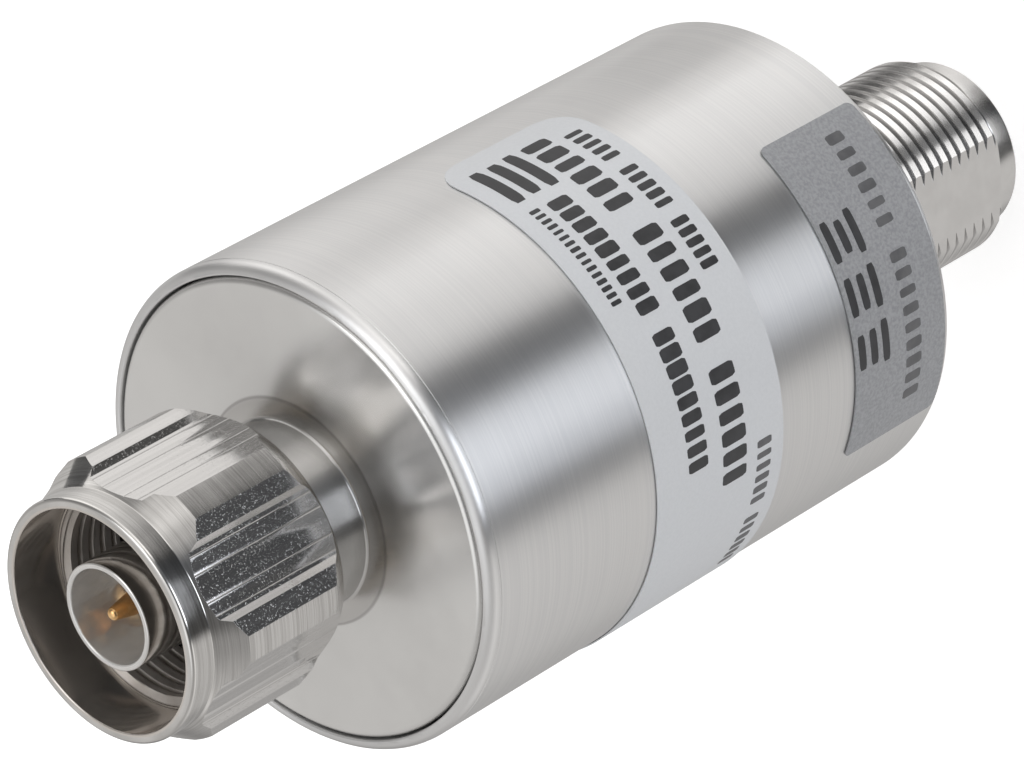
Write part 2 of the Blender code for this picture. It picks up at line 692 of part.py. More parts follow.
def make_fasteners():
    screw = screw_mesh(SCREW_RADIUS, SCREW_HEAD_RADIUS, SCREW_LENGTH)
    standoff = standoff_mesh()
    for index, (across, along) in enumerate(on_circle(FASTENER_CIRCLE, FLANGE_SCREW_AZIMUTHS), 1):
        place(f"flange_screw_{index}", screw, (across, along, FLANGE_TOP + SEAT_GAP))
    for index, (across, along) in enumerate(on_circle(FASTENER_CIRCLE, FASTENER_AZIMUTHS), 1):
        facing_out = (0, 0, FASTENER_AZIMUTHS[index - 1] + math.pi / 6)
        place(f"standoff_{index}", standoff, (across, along, FLANGE_TOP + SEAT_GAP), facing_out)
        place(f"board_screw_{index}", screw, (across, along, BOARD_TOP + SEAT_GAP))
    clip_screw = screw_mesh(CLIP_SCREW_RADIUS, CLIP_SCREW_HEAD_RADIUS, CLIP_SCREW_LENGTH)
    clip_seat = (CLIP_SCREW_X, 0, CAP_BOTTOM - CLIP_THICKNESS - 2 * SEAT_GAP)
    place("clip_screw", clip_screw, clip_seat, (math.pi, 0, 0))


def lead_pair(place_on_board, pitch):
    across, along = place_on_board
    return [(across - pitch / 2, along), (across + pitch / 2, along)]


def make_board():
    disc = drums("circuit_board", [(0, 0)], BOARD_RADIUS, BOARD_BOTTOM, BOARD_TOP, CONNECTOR_STEPS)
    board = finish(disc, BOARD)
    low = BOARD_BOTTOM - CUT_MARGIN
    high = BOARD_TOP + CUT_MARGIN
    screws = on_circle(FASTENER_CIRCLE, FASTENER_AZIMUTHS)
    boolean(board, cutter(drums("board_screw_holes", screws, SCREW_HOLE, low, high, SMALL_STEPS)))
    boolean(board, cutter(drums("contact_hole", [(0, 0)], CONTACT_STEM + HOLE_GAP, low, high, SMALL_STEPS)))
    coil = [(COIL_OFFSET - COIL_RADIUS, 0)]
    boolean(board, cutter(drums("coil_hole", coil, COIL_WIRE + HOLE_GAP, low, high, SMALL_STEPS)))
    leads = lead_pair(CAPACITOR_PLACE, LEAD_PITCH) + lead_pair(VARISTOR_PLACE, LEAD_PITCH)
    leads += lead_pair(DIODE_PLACE, DIODE_LENGTH + 2 * LEAD_OVERHANG)
    boolean(board, cutter(drums("lead_holes", leads, LEAD_RADIUS + HOLE_GAP, low, high, SMALL_STEPS)))


def make_capacitor():
    across, along = CAPACITOR_PLACE
    width, depth, height = CAPACITOR_SIZE
    base = BOARD_TOP + SEAT_GAP
    low = (across - width / 2, along - depth / 2, base)
    body = box("coupling_capacitor", low, (across + width / 2, along + depth / 2, base + height))
    leads = lead_pair(CAPACITOR_PLACE, LEAD_PITCH)
    bottom = BOARD_BOTTOM - LEAD_PROUD
    legs = drums("capacitor_leads", leads, LEAD_RADIUS, bottom, base + height / 2, SMALL_STEPS // 2)
    boolean(finish(body, EPOXY), cutter(legs), "UNION")


def make_varistor():
    across, along = VARISTOR_PLACE
    half = VARISTOR_THICKNESS / 2
    middle = BOARD_TOP + SEAT_GAP + VARISTOR_RADIUS
    corners = [(0, half), (VARISTOR_RADIUS, half, half / 2), (VARISTOR_RADIUS, -half, half / 2), (0, -half)]
    body = turned("varistor", corners, CONTACT_STEPS, (across, along, middle), (math.pi / 2, 0, 0))
    leads = lead_pair(VARISTOR_PLACE, LEAD_PITCH)
    legs = drums("varistor_leads", leads, LEAD_RADIUS, BOARD_BOTTOM - LEAD_PROUD, middle, SMALL_STEPS // 2)
    boolean(finish(body, CERAMIC_BLUE), cutter(legs), "UNION")


def make_diode():
    across, along = DIODE_PLACE
    middle = BOARD_TOP + SEAT_GAP + DIODE_RADIUS
    half = DIODE_LENGTH / 2
    corners = [(0, half), (DIODE_RADIUS, half), (DIODE_RADIUS, -half), (0, -half)]
    body = turned("suppressor_diode", corners, CONTACT_STEPS, (across, along, middle), (0, math.pi / 2, 0))
    reach = half + LEAD_OVERHANG
    bend = 2 * LEAD_RADIUS
    foot = BOARD_BOTTOM - LEAD_PROUD
    path = rounded([(-reach, foot), (-reach, middle, bend), (reach, middle, bend), (reach, foot)])
    lead = wire("diode_lead", [(across + step, along, height) for step, height in path], LEAD_RADIUS)
    lead_body = place("diode_lead_solid", frozen_mesh(lead))
    boolean(finish(body, EPOXY), cutter(lead_body), "UNION")


def make_block():
    """The brass block that joins the plug's pin, the surge tube and the coil."""
    low = (BLOCK_LEFT, -BLOCK_WIDTH / 2, BLOCK_BOTTOM)
    block = finish(box("line_block", low, (BLOCK_RIGHT, BLOCK_WIDTH / 2, BLOCK_TOP)), BRASS)
    floor = BLOCK_TOP - PIN_SEAT_DEPTH
    hole = drums("pin_seat", [(0, 0)], CONTACT_STEM + PRESS_GAP, floor, BLOCK_TOP + CUT_MARGIN, SMALL_STEPS)
    boolean(block, cutter(hole))
    coil = [(COIL_OFFSET + COIL_RADIUS, 0)]
    low = BLOCK_BOTTOM - CUT_MARGIN
    high = BLOCK_BOTTOM + COIL_SEAT_DEPTH
    boolean(block, cutter(drums("coil_seat", coil, COIL_WIRE + HOLE_GAP, low, high, SMALL_STEPS)))


def make_surge_tube():
    """A gas tube lying across the axis: a ceramic sleeve with an electrode pressed into each end."""
    across_axis = (0, math.pi / 2, 0)
    height = (BLOCK_TOP + BLOCK_BOTTOM) / 2
    middle = BLOCK_RIGHT + 2 * SEAT_GAP + ELECTRODE_THICKNESS + TUBE_LENGTH / 2
    bore = TUBE_RADIUS - TUBE_WALL
    half = TUBE_LENGTH / 2
    sleeve = [(bore, half), (TUBE_RADIUS, half), (TUBE_RADIUS, -half), (bore, -half)]
    finish(turned("surge_tube_sleeve", sleeve, CONTACT_STEPS, (middle, 0, height), across_axis), CERAMIC)
    boss = bore - HOLE_GAP
    electrode = [
        (0, ELECTRODE_THICKNESS),
        (TUBE_RADIUS, ELECTRODE_THICKNESS),
        (TUBE_RADIUS, 0),
        (boss, 0),
        (boss, -ELECTRODE_BOSS_LENGTH),
        (0, -ELECTRODE_BOSS_LENGTH),
    ]
    seat = half + SEAT_GAP
    ground = (middle + seat, 0, height)
    finish(turned("surge_tube_ground_electrode", electrode, CONTACT_STEPS, ground, across_axis), NICKEL)
    line = (middle - seat, 0, height)
    facing_back = (0, -math.pi / 2, 0)
    finish(turned("surge_tube_line_electrode", electrode, CONTACT_STEPS, line, facing_back), NICKEL)


def make_clip():
    """The folded strip that grounds the surge tube on the cap."""
    low = BLOCK_BOTTOM
    high = CAP_BOTTOM - SEAT_GAP
    left = CLIP_X
    right = CLIP_END
    inner = left + CLIP_THICKNESS
    outline = rounded([
        (left, low),
        (inner, low),
        (inner, high - CLIP_THICKNESS, CLIP_BEND),
        (right, high - CLIP_THICKNESS),
        (right, high),
        (left, high, CLIP_BEND + CLIP_THICKNESS),
    ])
    clip = outline_solid("surge_tube_clip", outline, CLIP_WIDTH, rotation=(math.pi / 2, 0, 0))
    hole = [(CLIP_SCREW_X, 0)]
    low = high - CLIP_THICKNESS - CUT_MARGIN
    boolean(clip, cutter(drums("clip_hole", hole, CLIP_SCREW_HOLE, low, high + CUT_MARGIN, SMALL_STEPS)))
    finish(clip, SPRING_METAL)


def make_coil():
    """The wire runs down from the block, round its turns, and down through the board."""
    top = BLOCK_BOTTOM + COIL_SEAT_DEPTH - SEAT_GAP
    first = BLOCK_BOTTOM - COIL_LEAD
    last = BOARD_TOP + COIL_LEAD
    length = COIL_TURNS * math.tau * COIL_RADIUS
    foot = BOARD_BOTTOM - LEAD_PROUD
    bend = 2 * COIL_WIRE
    path = rounded([(0, top), (0, first, bend), (length, last, bend), (length, foot)])
    steps = round(COIL_TURNS * SMALL_STEPS)
    start, end = path[ARC_STEPS + 1], path[ARC_STEPS + 2]
    winding = [start.lerp(end, step / steps) for step in range(1, steps)]
    path = path[: ARC_STEPS + 2] + winding + path[ARC_STEPS + 2 :]
    points = []
    for along, height in path:
        turn = along / COIL_RADIUS
        points.append((COIL_OFFSET + COIL_RADIUS * math.cos(turn), COIL_RADIUS * math.sin(turn), height))
    finish(wire("decoupling_coil", points, COIL_WIRE), COPPER)


def make_label(name, top, width, start, stop, corner, surface):
    """A flat sheet with round corners, scored where the housing's facets meet and wrapped round it."""
    radius = HOUSING_RADIUS + PRESS_GAP
    work = bmesh.new()
    bmesh.ops.create_grid(work, x_segments=1, y_segments=1, size=0.5)
    size = Vector(((stop - start) * radius, width, 1))
    bmesh.ops.scale(work, vec=size, verts=work.verts)
    bmesh.ops.bevel(
        work, geom=work.verts[:], offset=corner, offset_type="OFFSET", segments=ARC_STEPS, profile=0.5,
        affect="VERTICES",
    )
    middle = Vector(((start + stop) / 2 * radius, top - width / 2, 0))
    bmesh.ops.translate(work, vec=middle, verts=work.verts)
    facet = math.tau / BODY_STEPS
    for score in range(math.ceil(start / facet), math.floor(stop / facet) + 1):
        line = (score * facet * radius, 0, 0)
        everything = work.verts[:] + work.edges[:] + work.faces[:]
        bmesh.ops.bisect_plane(work, geom=everything, plane_co=line, plane_no=(1, 0, 0), dist=0.001 * MM)
    for vert in work.verts:
        turn = vert.co.x / radius
        vert.co = (radius * math.sin(turn), -radius * math.cos(turn), vert.co.y)
    mesh = bpy.data.meshes.new(name)
    work.to_mesh(mesh)
    work.free()
    label = finish(place(name, mesh), surface)
    sheet = label.modifiers.new("Sheet", "SOLIDIFY")
    sheet.thickness = LABEL_THICKNESS
    sheet.offset = 1


def make_labels():
    make_label(
        "main_label", MAIN_LABEL_TOP, MAIN_LABEL_WIDTH, MAIN_LABEL_FROM, MAIN_LABEL_TO,
        MAIN_LABEL_CORNER, WHITE_FILM,
    )
    make_label(
        "side_label", SIDE_LABEL_TOP, SIDE_LABEL_WIDTH, SIDE_LABEL_FROM, SIDE_LABEL_TO,
        SIDE_LABEL_CORNER, SILVER_FILM,
    )


# Places across the axis
DIODE_PLACE = (0, DIODE_INSET - BOARD_RADIUS)
BLOCK_RIGHT = CONTACT_RADIUS + BLOCK_WALL
BLOCK_LEFT = COIL_OFFSET - COIL_WIRE
TUBE_STACK = TUBE_LENGTH + 2 * ELECTRODE_THICKNESS + 4 * SEAT_GAP
CLIP_X = BLOCK_RIGHT + TUBE_STACK
CLIP_END = HOUSING_BORE - CLIP_END_GAP
CLIP_SCREW_X = (CLIP_X + CLIP_THICKNESS + CLIP_END) / 2

clear_scene()
PARTS = new_collection("coax_lightning_arrestor")
CUTTERS = new_collection("cutters")
ROOT = bpy.data.objects.new("arrestor", None)
PARTS.objects.link(ROOT)

ALUMINIUM = material("turned_aluminium", (0.78, 0.77, 0.76), 0.32, 1.0)
PLATED = material("polished_plate", (0.76, 0.75, 0.73), 0.15, 1.0)
NICKEL = material("nickel", (0.70, 0.68, 0.65), 0.22, 1.0)
GOLD = material("gold_plate", (0.85, 0.58, 0.28), 0.22, 1.0)
BRASS = material("brass", (0.78, 0.60, 0.30), 0.3, 1.0)
COPPER = material("enamelled_copper", (0.72, 0.32, 0.16), 0.3, 1.0)
STEEL = material("steel", (0.55, 0.55, 0.56), 0.35, 1.0)
SPRING_METAL = material("spring_bronze", (0.62, 0.50, 0.32), 0.3, 1.0)
RUBBER = material("black_rubber", (0.02, 0.02, 0.02), 0.6, 0.0)
INSULATOR = material("white_insulator", (0.85, 0.85, 0.82), 0.5, 0.0)
CERAMIC = material("white_ceramic", (0.90, 0.89, 0.86), 0.4, 0.0)
CERAMIC_BLUE = material("blue_coating", (0.05, 0.14, 0.38), 0.4, 0.0)
EPOXY = material("black_epoxy", (0.03, 0.03, 0.03), 0.5, 0.0)
BOARD = material("green_board", (0.02, 0.20, 0.09), 0.5, 0.0)
WHITE_FILM = material("white_film", (0.80, 0.81, 0.83), 0.35, 0.0)
SILVER_FILM = material("silver_film", (0.42, 0.42, 0.43), 0.4, 0.0)

make_housing()
make_front_cap()
make_plug()
make_snap_ring()
make_coupling_nut()
make_jack()
make_socket()
make_fasteners()
make_board()
make_capacitor()
make_varistor()
make_diode()
make_block()
make_surge_tube()
make_clip()
make_coil()
make_labels()
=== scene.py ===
"""Looks for the coax lightning arrestor: metals, threads, labels, floor, lights and camera.

The arrestor's sizes are written in millimetres and become metres through MM. Heights run from the
jack's open end, and azimuths run round the axis from the jack's flat. The floor, the cards, the
lights and the camera are placed in metres.
"""

import functools
import json
import math

import bmesh
import bpy
from mathutils import Matrix, Vector


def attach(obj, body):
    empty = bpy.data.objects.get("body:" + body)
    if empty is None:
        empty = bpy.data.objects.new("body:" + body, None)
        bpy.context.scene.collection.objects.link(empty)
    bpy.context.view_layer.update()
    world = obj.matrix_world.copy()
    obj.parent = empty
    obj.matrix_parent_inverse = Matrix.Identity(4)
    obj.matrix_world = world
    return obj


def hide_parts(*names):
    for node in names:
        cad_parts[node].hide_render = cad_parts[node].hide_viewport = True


MM = 0.001

# Radii and heights of the turned pieces, as the solids have them
HOUSING_RADIUS = 18.2
HOUSING_BORE = 16.4
REAR_FACE = 22.3
REAR_WALL_TOP = 25.8
RIM_FACE = 70.9
RIM_LINE_DEPTH = 0.04
CAP_SEAT = 17.3
CAP_SEAT_HEIGHT = 66.85
CAP_RADIUS = 17.05
CAP_EDGE = 17.15
CAP_REAR = 66.9
SEAL_GROOVE = 15.85
BOSS_RADIUS = 6.5
BOSS_REAR = 63.9
PAD_FACE = 71.05
NECK_RADIUS = 6.9
NECK_FRONT = 78.65
NECK_GROOVE = 6.25
CONTACT_BORE = 3.5
FERRULE_SEAT = 4.0
FERRULE_RADIUS = 3.95
FERRULE_REAR = 75.7
FERRULE_FRONT = 88.9
PIN_RADIUS = 1.52
PIN_TIP = 0.8
WIRE_RADIUS = 0.75
BEAD_RADIUS = 3.45
BEAD_HOLE = 1.57
BEAD_LENGTH = 4.0
PLUG_BEAD_REAR = 76.9
JACK_BEAD_REAR = 12.0
WASHER_HOLE = 4.1
WASHER_RADIUS = 6.6
WASHER_REAR = 78.7
WASHER_FRONT = 79.9

# The jack
THREAD_RADIUS = 7.9
THREAD_ROOT = 7.5
THREAD_PITCH = 1.0583
THREAD_START = 2.35
RING_RADIUS = 6.85
RING_TOP = 2.1
JACK_MOUTH = 4.1
JACK_MOUTH_DEPTH = 9.1
JACK_FLAT = 7.05
FLANGE_RADIUS = 16.0
FLANGE_BOTTOM = 25.85
FLANGE_TOP = 28.35
SLEEVE_RADIUS = 5.5
SLEEVE_TOP = 31.05
SOCKET_BORE = 0.84
SLOT_SIZE = (0.3, 5.0, 5.5)
SLOT_HEIGHT = 6.75

# The coupling nut, with heights from its rear
NUT_REAR = 75.5
NUT_LENGTH = 14.2
NUT_COLLAR = 8.95
NUT_CORNER = 10.37
NUT_FLAT = 9.45
NUT_MOUTH = 8.17
NUT_RELIEF = 8.05
NUT_BORE = 7.2
NUT_RING_GROOVE = 7.85
NUT_BEVEL = 0.07
NUT_THREAD_REAR = 4.9
NUT_THREAD_FRONT = 10.0
NUT_THREAD_ROOT = 7.95
NUT_THREAD_CREST = 7.42
NUT_THREAD_OUTSIDE = 8.1
CORNER_AZIMUTH = -4.4
RECESS_DEPTH = 0.36
RECESS_TOP = 2.9
RECESS_FOOT = 2.45
DRAW_LINES = (-2.15, -1.1, 0.9, 2.1)
DRAW_LINE_REACH = 0.06
DRAW_LINE_DEPTH = 0.03

# The labels: bottom, top, first and last azimuth, and corner radius
WHITE_LABEL = (41.0, 54.3, -94.0, 92.0, 2.7)
SILVER_LABEL = (23.0, 33.0, -25.7, 54.0, 0.6)
LABEL_RADIUS = 18.25
LABEL_THICKNESS = 0.1
INK_THICKNESS = 0.012

# Radii at which a finish changes, and at which painted shade begins: on the cap's pad, in a line
# at the pad's edge, on the neck and in the jack's thread grooves
PAD_EDGE = 8.2
PAD_SHADE_LINE = 8.45
NECK_EDGE = 6.95
FERRULE_MIDDLE = 3.6
GROOVE_EDGE = 7.76
NUT_BORE_EDGE = 8.3

# How finely shapes are drawn, in steps round the axis or round an arc, rows in one pitch of a
# thread, rows in one flank, degrees in one slice of a label and columns in one printed block
FINE_STEPS = 256
ROUND_STEPS = 128
SOCKET_STEPS = 96
ARC_STEPS = 6
PITCH_ROWS = 16
FLANK_ROWS = 3
SLICE_DEGREES = 1.2
BLOCK_COLUMNS = 10

# Edges sharper than these angles stay sharp in the shading
PLAIN_SHARP = 30
THREAD_SHARP = 15
NUT_SHARP = 16
LABEL_SHARP = 40


# ---- shapes ----


def placed(name, data):
    """Puts an object that holds this data in the scene."""
    obj = bpy.data.objects.new(name, data)
    bpy.context.scene.collection.objects.link(obj)
    return obj


def shade(obj, sharp_angle):
    """Smooths an object's faces between its sharp edges."""
    mesh = obj.data
    mesh.polygons.foreach_set("use_smooth", [True] * len(mesh.polygons))
    mesh.set_sharp_from_angle(angle=math.radians(sharp_angle))


def new_piece(name, work, sharp_angle=PLAIN_SHARP):
    """Makes an object of a bmesh in millimetres."""
    mesh = bpy.data.meshes.new(name)
    work.to_mesh(mesh)
    work.free()
    mesh.transform(Matrix.Scale(MM, 4))
    piece = placed(name, mesh)
    shade(piece, sharp_angle)
    return piece


def apply_modifiers(obj):
    """Replaces an object's mesh by what its modifiers make of it."""
    graph = bpy.context.evaluated_depsgraph_get()
    mesh = bpy.data.meshes.new_from_object(obj.evaluated_get(graph))
    obj.modifiers.clear()
    obj.data = mesh


def cut_by(target, tool, operation):
    """Applies a Boolean and removes its tool."""
    step = target.modifiers.new("Cut", "BOOLEAN")
    step.operation = operation
    step.solver = "EXACT"
    step.material_mode = "TRANSFER"
    step.object = tool
    apply_modifiers(target)
    bpy.data.objects.remove(tool)
    shade(target, PLAIN_SHARP)


def rounded(corners):
    """Corners as (across, along) or (across, along, radius), each radius drawn as an arc."""
    points = []
    for index, corner in enumerate(corners):
        here = Vector(corner[:2])
        if len(corner) == 2:
            points.append(here)
            continue
        back = (Vector(corners[index - 1][:2]) - here).normalized()
        ahead = (Vector(corners[(index + 1) % len(corners)][:2]) - here).normalized()
        half = back.angle(ahead) / 2
        centre = here + (back + ahead).normalized() * corner[2] / math.sin(half)
        start = here + back * corner[2] / math.tan(half) - centre
        end = here + ahead * corner[2] / math.tan(half) - centre
        turn = -start.angle_signed(end)
        for step in range(ARC_STEPS + 1):
            points.append(centre + Matrix.Rotation(turn * step / ARC_STEPS, 2) @ start)
    return points


def turn_profile(work, points, steps, closed):
    """Turns an outline about Z. A point on the axis makes one vertex."""
    rings = []
    for across, along in points:
        if across < 1e-6:
            rings.append([work.verts.new((0, 0, along))] * steps)
            continue
        ring = []
        for step in range(steps):
            angle = math.tau * step / steps
            place = (across * math.cos(angle), across * math.sin(angle), along)
            ring.append(work.verts.new(place))
        rings.append(ring)
    pairs = list(zip(rings, rings[1:]))
    if closed:
        pairs.append((rings[-1], rings[0]))
    for upper, lower in pairs:
        for step in range(steps):
            after = (step + 1) % steps
            around = [upper[step], upper[after], lower[after], lower[step]]
            corners = [vert for index, vert in enumerate(around) if vert not in around[:index]]
            if len(corners) > 2:
                work.faces.new(corners)


def lathe(name, corners, steps):
    """A closed turned piece. Its outline ends on the axis, or closes on itself."""
    work = bmesh.new()
    turn_profile(work, rounded(corners), steps, corners[0][0] > 0)
    bmesh.ops.recalc_face_normals(work, faces=work.faces)
    return new_piece(name, work)


def coat(obj, *surfaces):
    """Gives an object these materials and no others. Its faces all take the first."""
    obj.data.materials.clear()
    for surface in surfaces:
        obj.data.materials.append(surface)


def dress(piece, body, slot, *nodes):
    """Ties a finished piece to its body and hides the solids that it stands for. The slot is not
    used.
    """
    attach(piece, body)
    if nodes:
        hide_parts(*nodes)


def make_turned(name, corners, steps, surface, slot, node):
    """A turned piece of the fixed body that stands for one solid."""
    piece = lathe(name, corners, steps)
    coat(piece, surface)
    dress(piece, "arrestor_body", slot, node)


# ---- nodes ----


def feed(tree, socket, value):
    """Sets an input to a value, or links it to another node's output."""
    if isinstance(value, bpy.types.NodeSocket):
        tree.links.new(value, socket)
    else:
        socket.default_value = value


def add_node(tree, kind, inputs=None, **settings):
    """Adds a node with these settings, and feeds its inputs by name or number."""
    node = tree.nodes.new(kind)
    for key, value in settings.items():
        setattr(node, key, value)
    for key, value in (inputs or {}).items():
        feed(tree, node.inputs[key], value)
    return node


def calculate(tree, operation, *values, clamp=False):
    """The result of one Math node."""
    inputs = dict(enumerate(values))
    node = add_node(tree, "ShaderNodeMath", inputs, operation=operation, use_clamp=clamp)
    return node.outputs[0]


def smooth_step(tree, source, from_low, from_high, low=0, high=1):
    """Maps a span onto low to high, level at both ends."""
    inputs = {
        "Value": source,
        "From Min": from_low,
        "From Max": from_high,
        "To Min": low,
        "To Max": high,
    }
    node = add_node(tree, "ShaderNodeMapRange", inputs, interpolation_type="SMOOTHSTEP")
    return node.outputs["Result"]


def mix_tones(tree, factor, under, over):
    """A colour between two, each an output or three numbers."""
    mix = add_node(tree, "ShaderNodeMix", {"Factor": factor}, data_type="RGBA")
    for socket, tone in ((mix.inputs[6], under), (mix.inputs[7], over)):
        feed(tree, socket, (*tone, 1) if isinstance(tone, tuple) else tone)
    return mix.outputs[2]


class Finish:
    """A material under construction: a Principled shader and short calls that add nodes."""

    def __init__(self, name, metallic=0.0):
        self.material = bpy.data.materials.new(name)
        self.material.use_nodes = True
        self.tree = self.material.node_tree
        self.shader = self.tree.nodes["Principled BSDF"]
        self.place = self.node("ShaderNodeTexCoord").outputs["Object"]
        self.give("Metallic", metallic)

    def node(self, kind, inputs=None, **settings):
        return add_node(self.tree, kind, inputs, **settings)

    def give(self, name, value):
        """Sets an input of the shader, or links it."""
        feed(self.tree, self.shader.inputs[name], value)

    def noise(self, stretch, detail=3.0, roughness=0.55):
        """Noise over the piece. The stretch is how many grains fit in a metre along each axis."""
        mapping = self.node("ShaderNodeMapping", {"Vector": self.place, "Scale": stretch})
        inputs = {
            "Vector": mapping.outputs["Vector"],
            "Scale": 1.0,
            "Detail": detail,
            "Roughness": roughness,
        }
        return self.node("ShaderNodeTexNoise", inputs).outputs["Fac"]

    def haze(self, grains, detail=3.0, roughness=0.55):
        """Noise that is alike along all axes."""
        return self.noise((grains, grains, grains), detail, roughness)

    def rings(self, pitch):
        """Noise in fine circles round the axis, for a faced disc."""
        inputs = {"W": self.from_axis(), "Scale": 1.0 / pitch, "Detail": 3.0}
        return self.node("ShaderNodeTexNoise", inputs, noise_dimensions="1D").outputs["Fac"]

    def from_axis(self):
        """Distance from the turning axis."""
        flat = self.node(
            "ShaderNodeVectorMath", {0: self.place, 1: (1, 1, 0)}, operation="MULTIPLY"
        )
        length = self.node("ShaderNodeVectorMath", {0: flat.outputs["Vector"]}, operation="LENGTH")
        return length.outputs["Value"]

    def spread(self, source, low, high, from_low=0.3, from_high=0.7):
        """Maps a pattern's usual span onto low to high."""
        return smooth_step(self.tree, source, from_low, from_high, low, high)

    def outside_of(self, radius, inside, outside, fade=0.15):
        """One value within a radius in millimetres, another beyond it."""
        return self.spread(self.from_axis(), inside, outside, radius * MM, (radius + fade) * MM)

    def tones(self, pattern, dark, light):
        """A colour that follows a pattern."""
        return mix_tones(self.tree, self.spread(pattern, 0, 1), dark, light)

    def inside_of(self, under, radius, colour, fade):
        """Changes the colour within a radius in millimetres."""
        return mix_tones(self.tree, self.outside_of(radius, 1, 0, fade), under, colour)

    def painted_shade_ring(self, under, radius, width, colour, strength=0.8):
        """Darkens a thin ring at a radius, both in millimetres: a painted shade line."""
        offset = calculate(self.tree, "SUBTRACT", self.from_axis(), radius * MM)
        distance = calculate(self.tree, "ABSOLUTE", offset)
        share = self.spread(distance, strength, 0, 0, width * MM)
        return mix_tones(self.tree, share, under, colour)

    def bump(self, source, height, strength=1.0, under=None):
        """Relief of the given height in millimetres. It lies on the relief under it."""
        inputs = {"Height": source, "Distance": height * MM, "Strength": strength}
        if under is not None:
            inputs["Normal"] = under
        normal = self.node("ShaderNodeBump", inputs).outputs["Normal"]
        self.give("Normal", normal)
        return normal

    def stretch_highlights(self, amount):
        """Lengthens highlights along Z, as lines turned round the axis do."""
        tangent = self.node("ShaderNodeTangent", direction_type="RADIAL", axis="Z")
        self.give("Tangent", tangent.outputs["Tangent"])
        self.give("Anisotropic", amount)
        self.give("Anisotropic Rotation", 0.25)


# ---- finishes ----


def turned_aluminium():
    """Satin aluminium with fine lines turned round the axis."""
    finish = Finish("turned_aluminium", 1.0)
    lines = finish.noise((14, 14, 6400), 2.0, 0.6)
    haze = finish.haze(240, 2.0)
    finish.give("Base Color", finish.tones(lines, (0.75, 0.75, 0.752), (0.80, 0.798, 0.795)))
    finish.give("Roughness", finish.spread(haze, 0.35, 0.37))
    finish.bump(lines, 0.001, 0.25)
    finish.stretch_highlights(0.85)
    return finish.material


def faced_plate():
    """White-bronze plate on the cap, with painted shade on its pad and neck and in a line at the
    pad's edge.
    """
    finish = Finish("faced_plate", 1.0)
    rings = finish.rings(0.13 * MM)
    lines = finish.noise((30, 30, 4200))
    haze = finish.haze(160)
    toned = finish.tones(haze, (0.71, 0.705, 0.695), (0.76, 0.755, 0.745))
    # Painted shade: the pad, a line at its edge and the neck are darker, as in the shade under the
    # nut.
    toned = finish.inside_of(toned, PAD_EDGE, (0.56, 0.55, 0.535), 0.3)
    toned = finish.painted_shade_ring(toned, PAD_SHADE_LINE, 0.22, (0.38, 0.37, 0.36))
    toned = finish.inside_of(toned, NECK_EDGE, (0.58, 0.575, 0.565), 0.1)
    finish.give("Base Color", toned)
    finish.give("Roughness", finish.spread(haze, 0.20, 0.25))
    relief = finish.bump(lines, 0.002, 0.3)
    finish.bump(rings, 0.001, 0.25, relief)
    finish.stretch_highlights(0.8)
    return finish.material


def polished_plate():
    """The same plate, nearly a mirror, on the plug's outer contact. Its bore is milky."""
    finish = Finish("polished_plate")
    haze = finish.haze(300)
    finish.give("Base Color", finish.tones(haze, (0.72, 0.71, 0.695), (0.80, 0.79, 0.775)))
    finish.give("Roughness", finish.outside_of(FERRULE_MIDDLE, 0.1, 0.11))
    finish.give("Metallic", finish.outside_of(FERRULE_MIDDLE, 0.6, 1.0))
    return finish.material


def jack_finish(name, shade_grooves):
    """The same plate on the jack. Painted shade makes its thread grooves darker than their crests.
    """
    finish = Finish(name, 1.0)
    haze = finish.haze(420)
    toned = finish.tones(haze, (0.72, 0.71, 0.70), (0.78, 0.77, 0.76))
    # Painted shade in the thread grooves, when asked for.
    if shade_grooves:
        toned = finish.inside_of(toned, GROOVE_EDGE, (0.50, 0.495, 0.49), 0.13)
    finish.give("Base Color", toned)
    finish.give("Roughness", finish.spread(haze, 0.15, 0.20))
    finish.stretch_highlights(0.3)
    return finish.material


def turned_nickel():
    """Nickel plate over turned brass: sharp lines round the axis, and a dull bore."""
    finish = Finish("turned_nickel")
    lines = finish.noise((60, 60, 5200), 4.0, 0.8)
    haze = finish.haze(260)
    toned = finish.tones(lines, (0.52, 0.51, 0.495), (0.75, 0.74, 0.725))
    toned = finish.inside_of(toned, NUT_BORE_EDGE, (0.66, 0.62, 0.58), 0.15)
    finish.give("Base Color", toned)
    finish.give("Metallic", finish.outside_of(NUT_BORE_EDGE, 0.9, 1.0))
    finish.give("Roughness", finish.spread(haze, 0.10, 0.17))
    finish.bump(lines, 0.006, finish.outside_of(NUT_BORE_EDGE, 0.1, 0.7))
    finish.stretch_highlights(0.7)
    return finish.material


def bore_nickel():
    """The same plate on the thread inside, dull and brownish, with painted shade making it darker
    than the plate outside.
    """
    finish = Finish("bore_nickel", 0.6)
    haze = finish.haze(500)
    # Painted shade: a darker colour for the shade inside the bore.
    finish.give("Base Color", finish.tones(haze, (0.46, 0.425, 0.39), (0.58, 0.545, 0.51)))
    finish.give("Roughness", finish.spread(haze, 0.30, 0.42))
    return finish.material


def drawn_nickel():
    """Nickel plate over drawn bar: smooth along the axis, with scattered specks that sparkle."""
    finish = Finish("drawn_nickel", 1.0)
    grain = finish.haze(7000, roughness=0.7)
    draw_lines = finish.noise((2600, 2600, 30))
    finish.give("Base Color", finish.tones(draw_lines, (0.70, 0.69, 0.68), (0.76, 0.75, 0.74)))
    finish.give("Roughness", finish.spread(draw_lines, 0.10, 0.14))
    relief = finish.bump(draw_lines, 0.0015, 0.3)
    finish.bump(finish.spread(grain, 0, 1, 0.56, 0.78), 0.005, under=relief)
    return finish.material


def gold_plate():
    finish = Finish("gold_plate", 1.0)
    haze = finish.haze(900)
    finish.give("Base Color", finish.tones(haze, (0.78, 0.47, 0.20), (0.93, 0.64, 0.33)))
    finish.give("Roughness", finish.spread(haze, 0.16, 0.26))
    finish.bump(haze, 0.002, 0.2)
    return finish.material


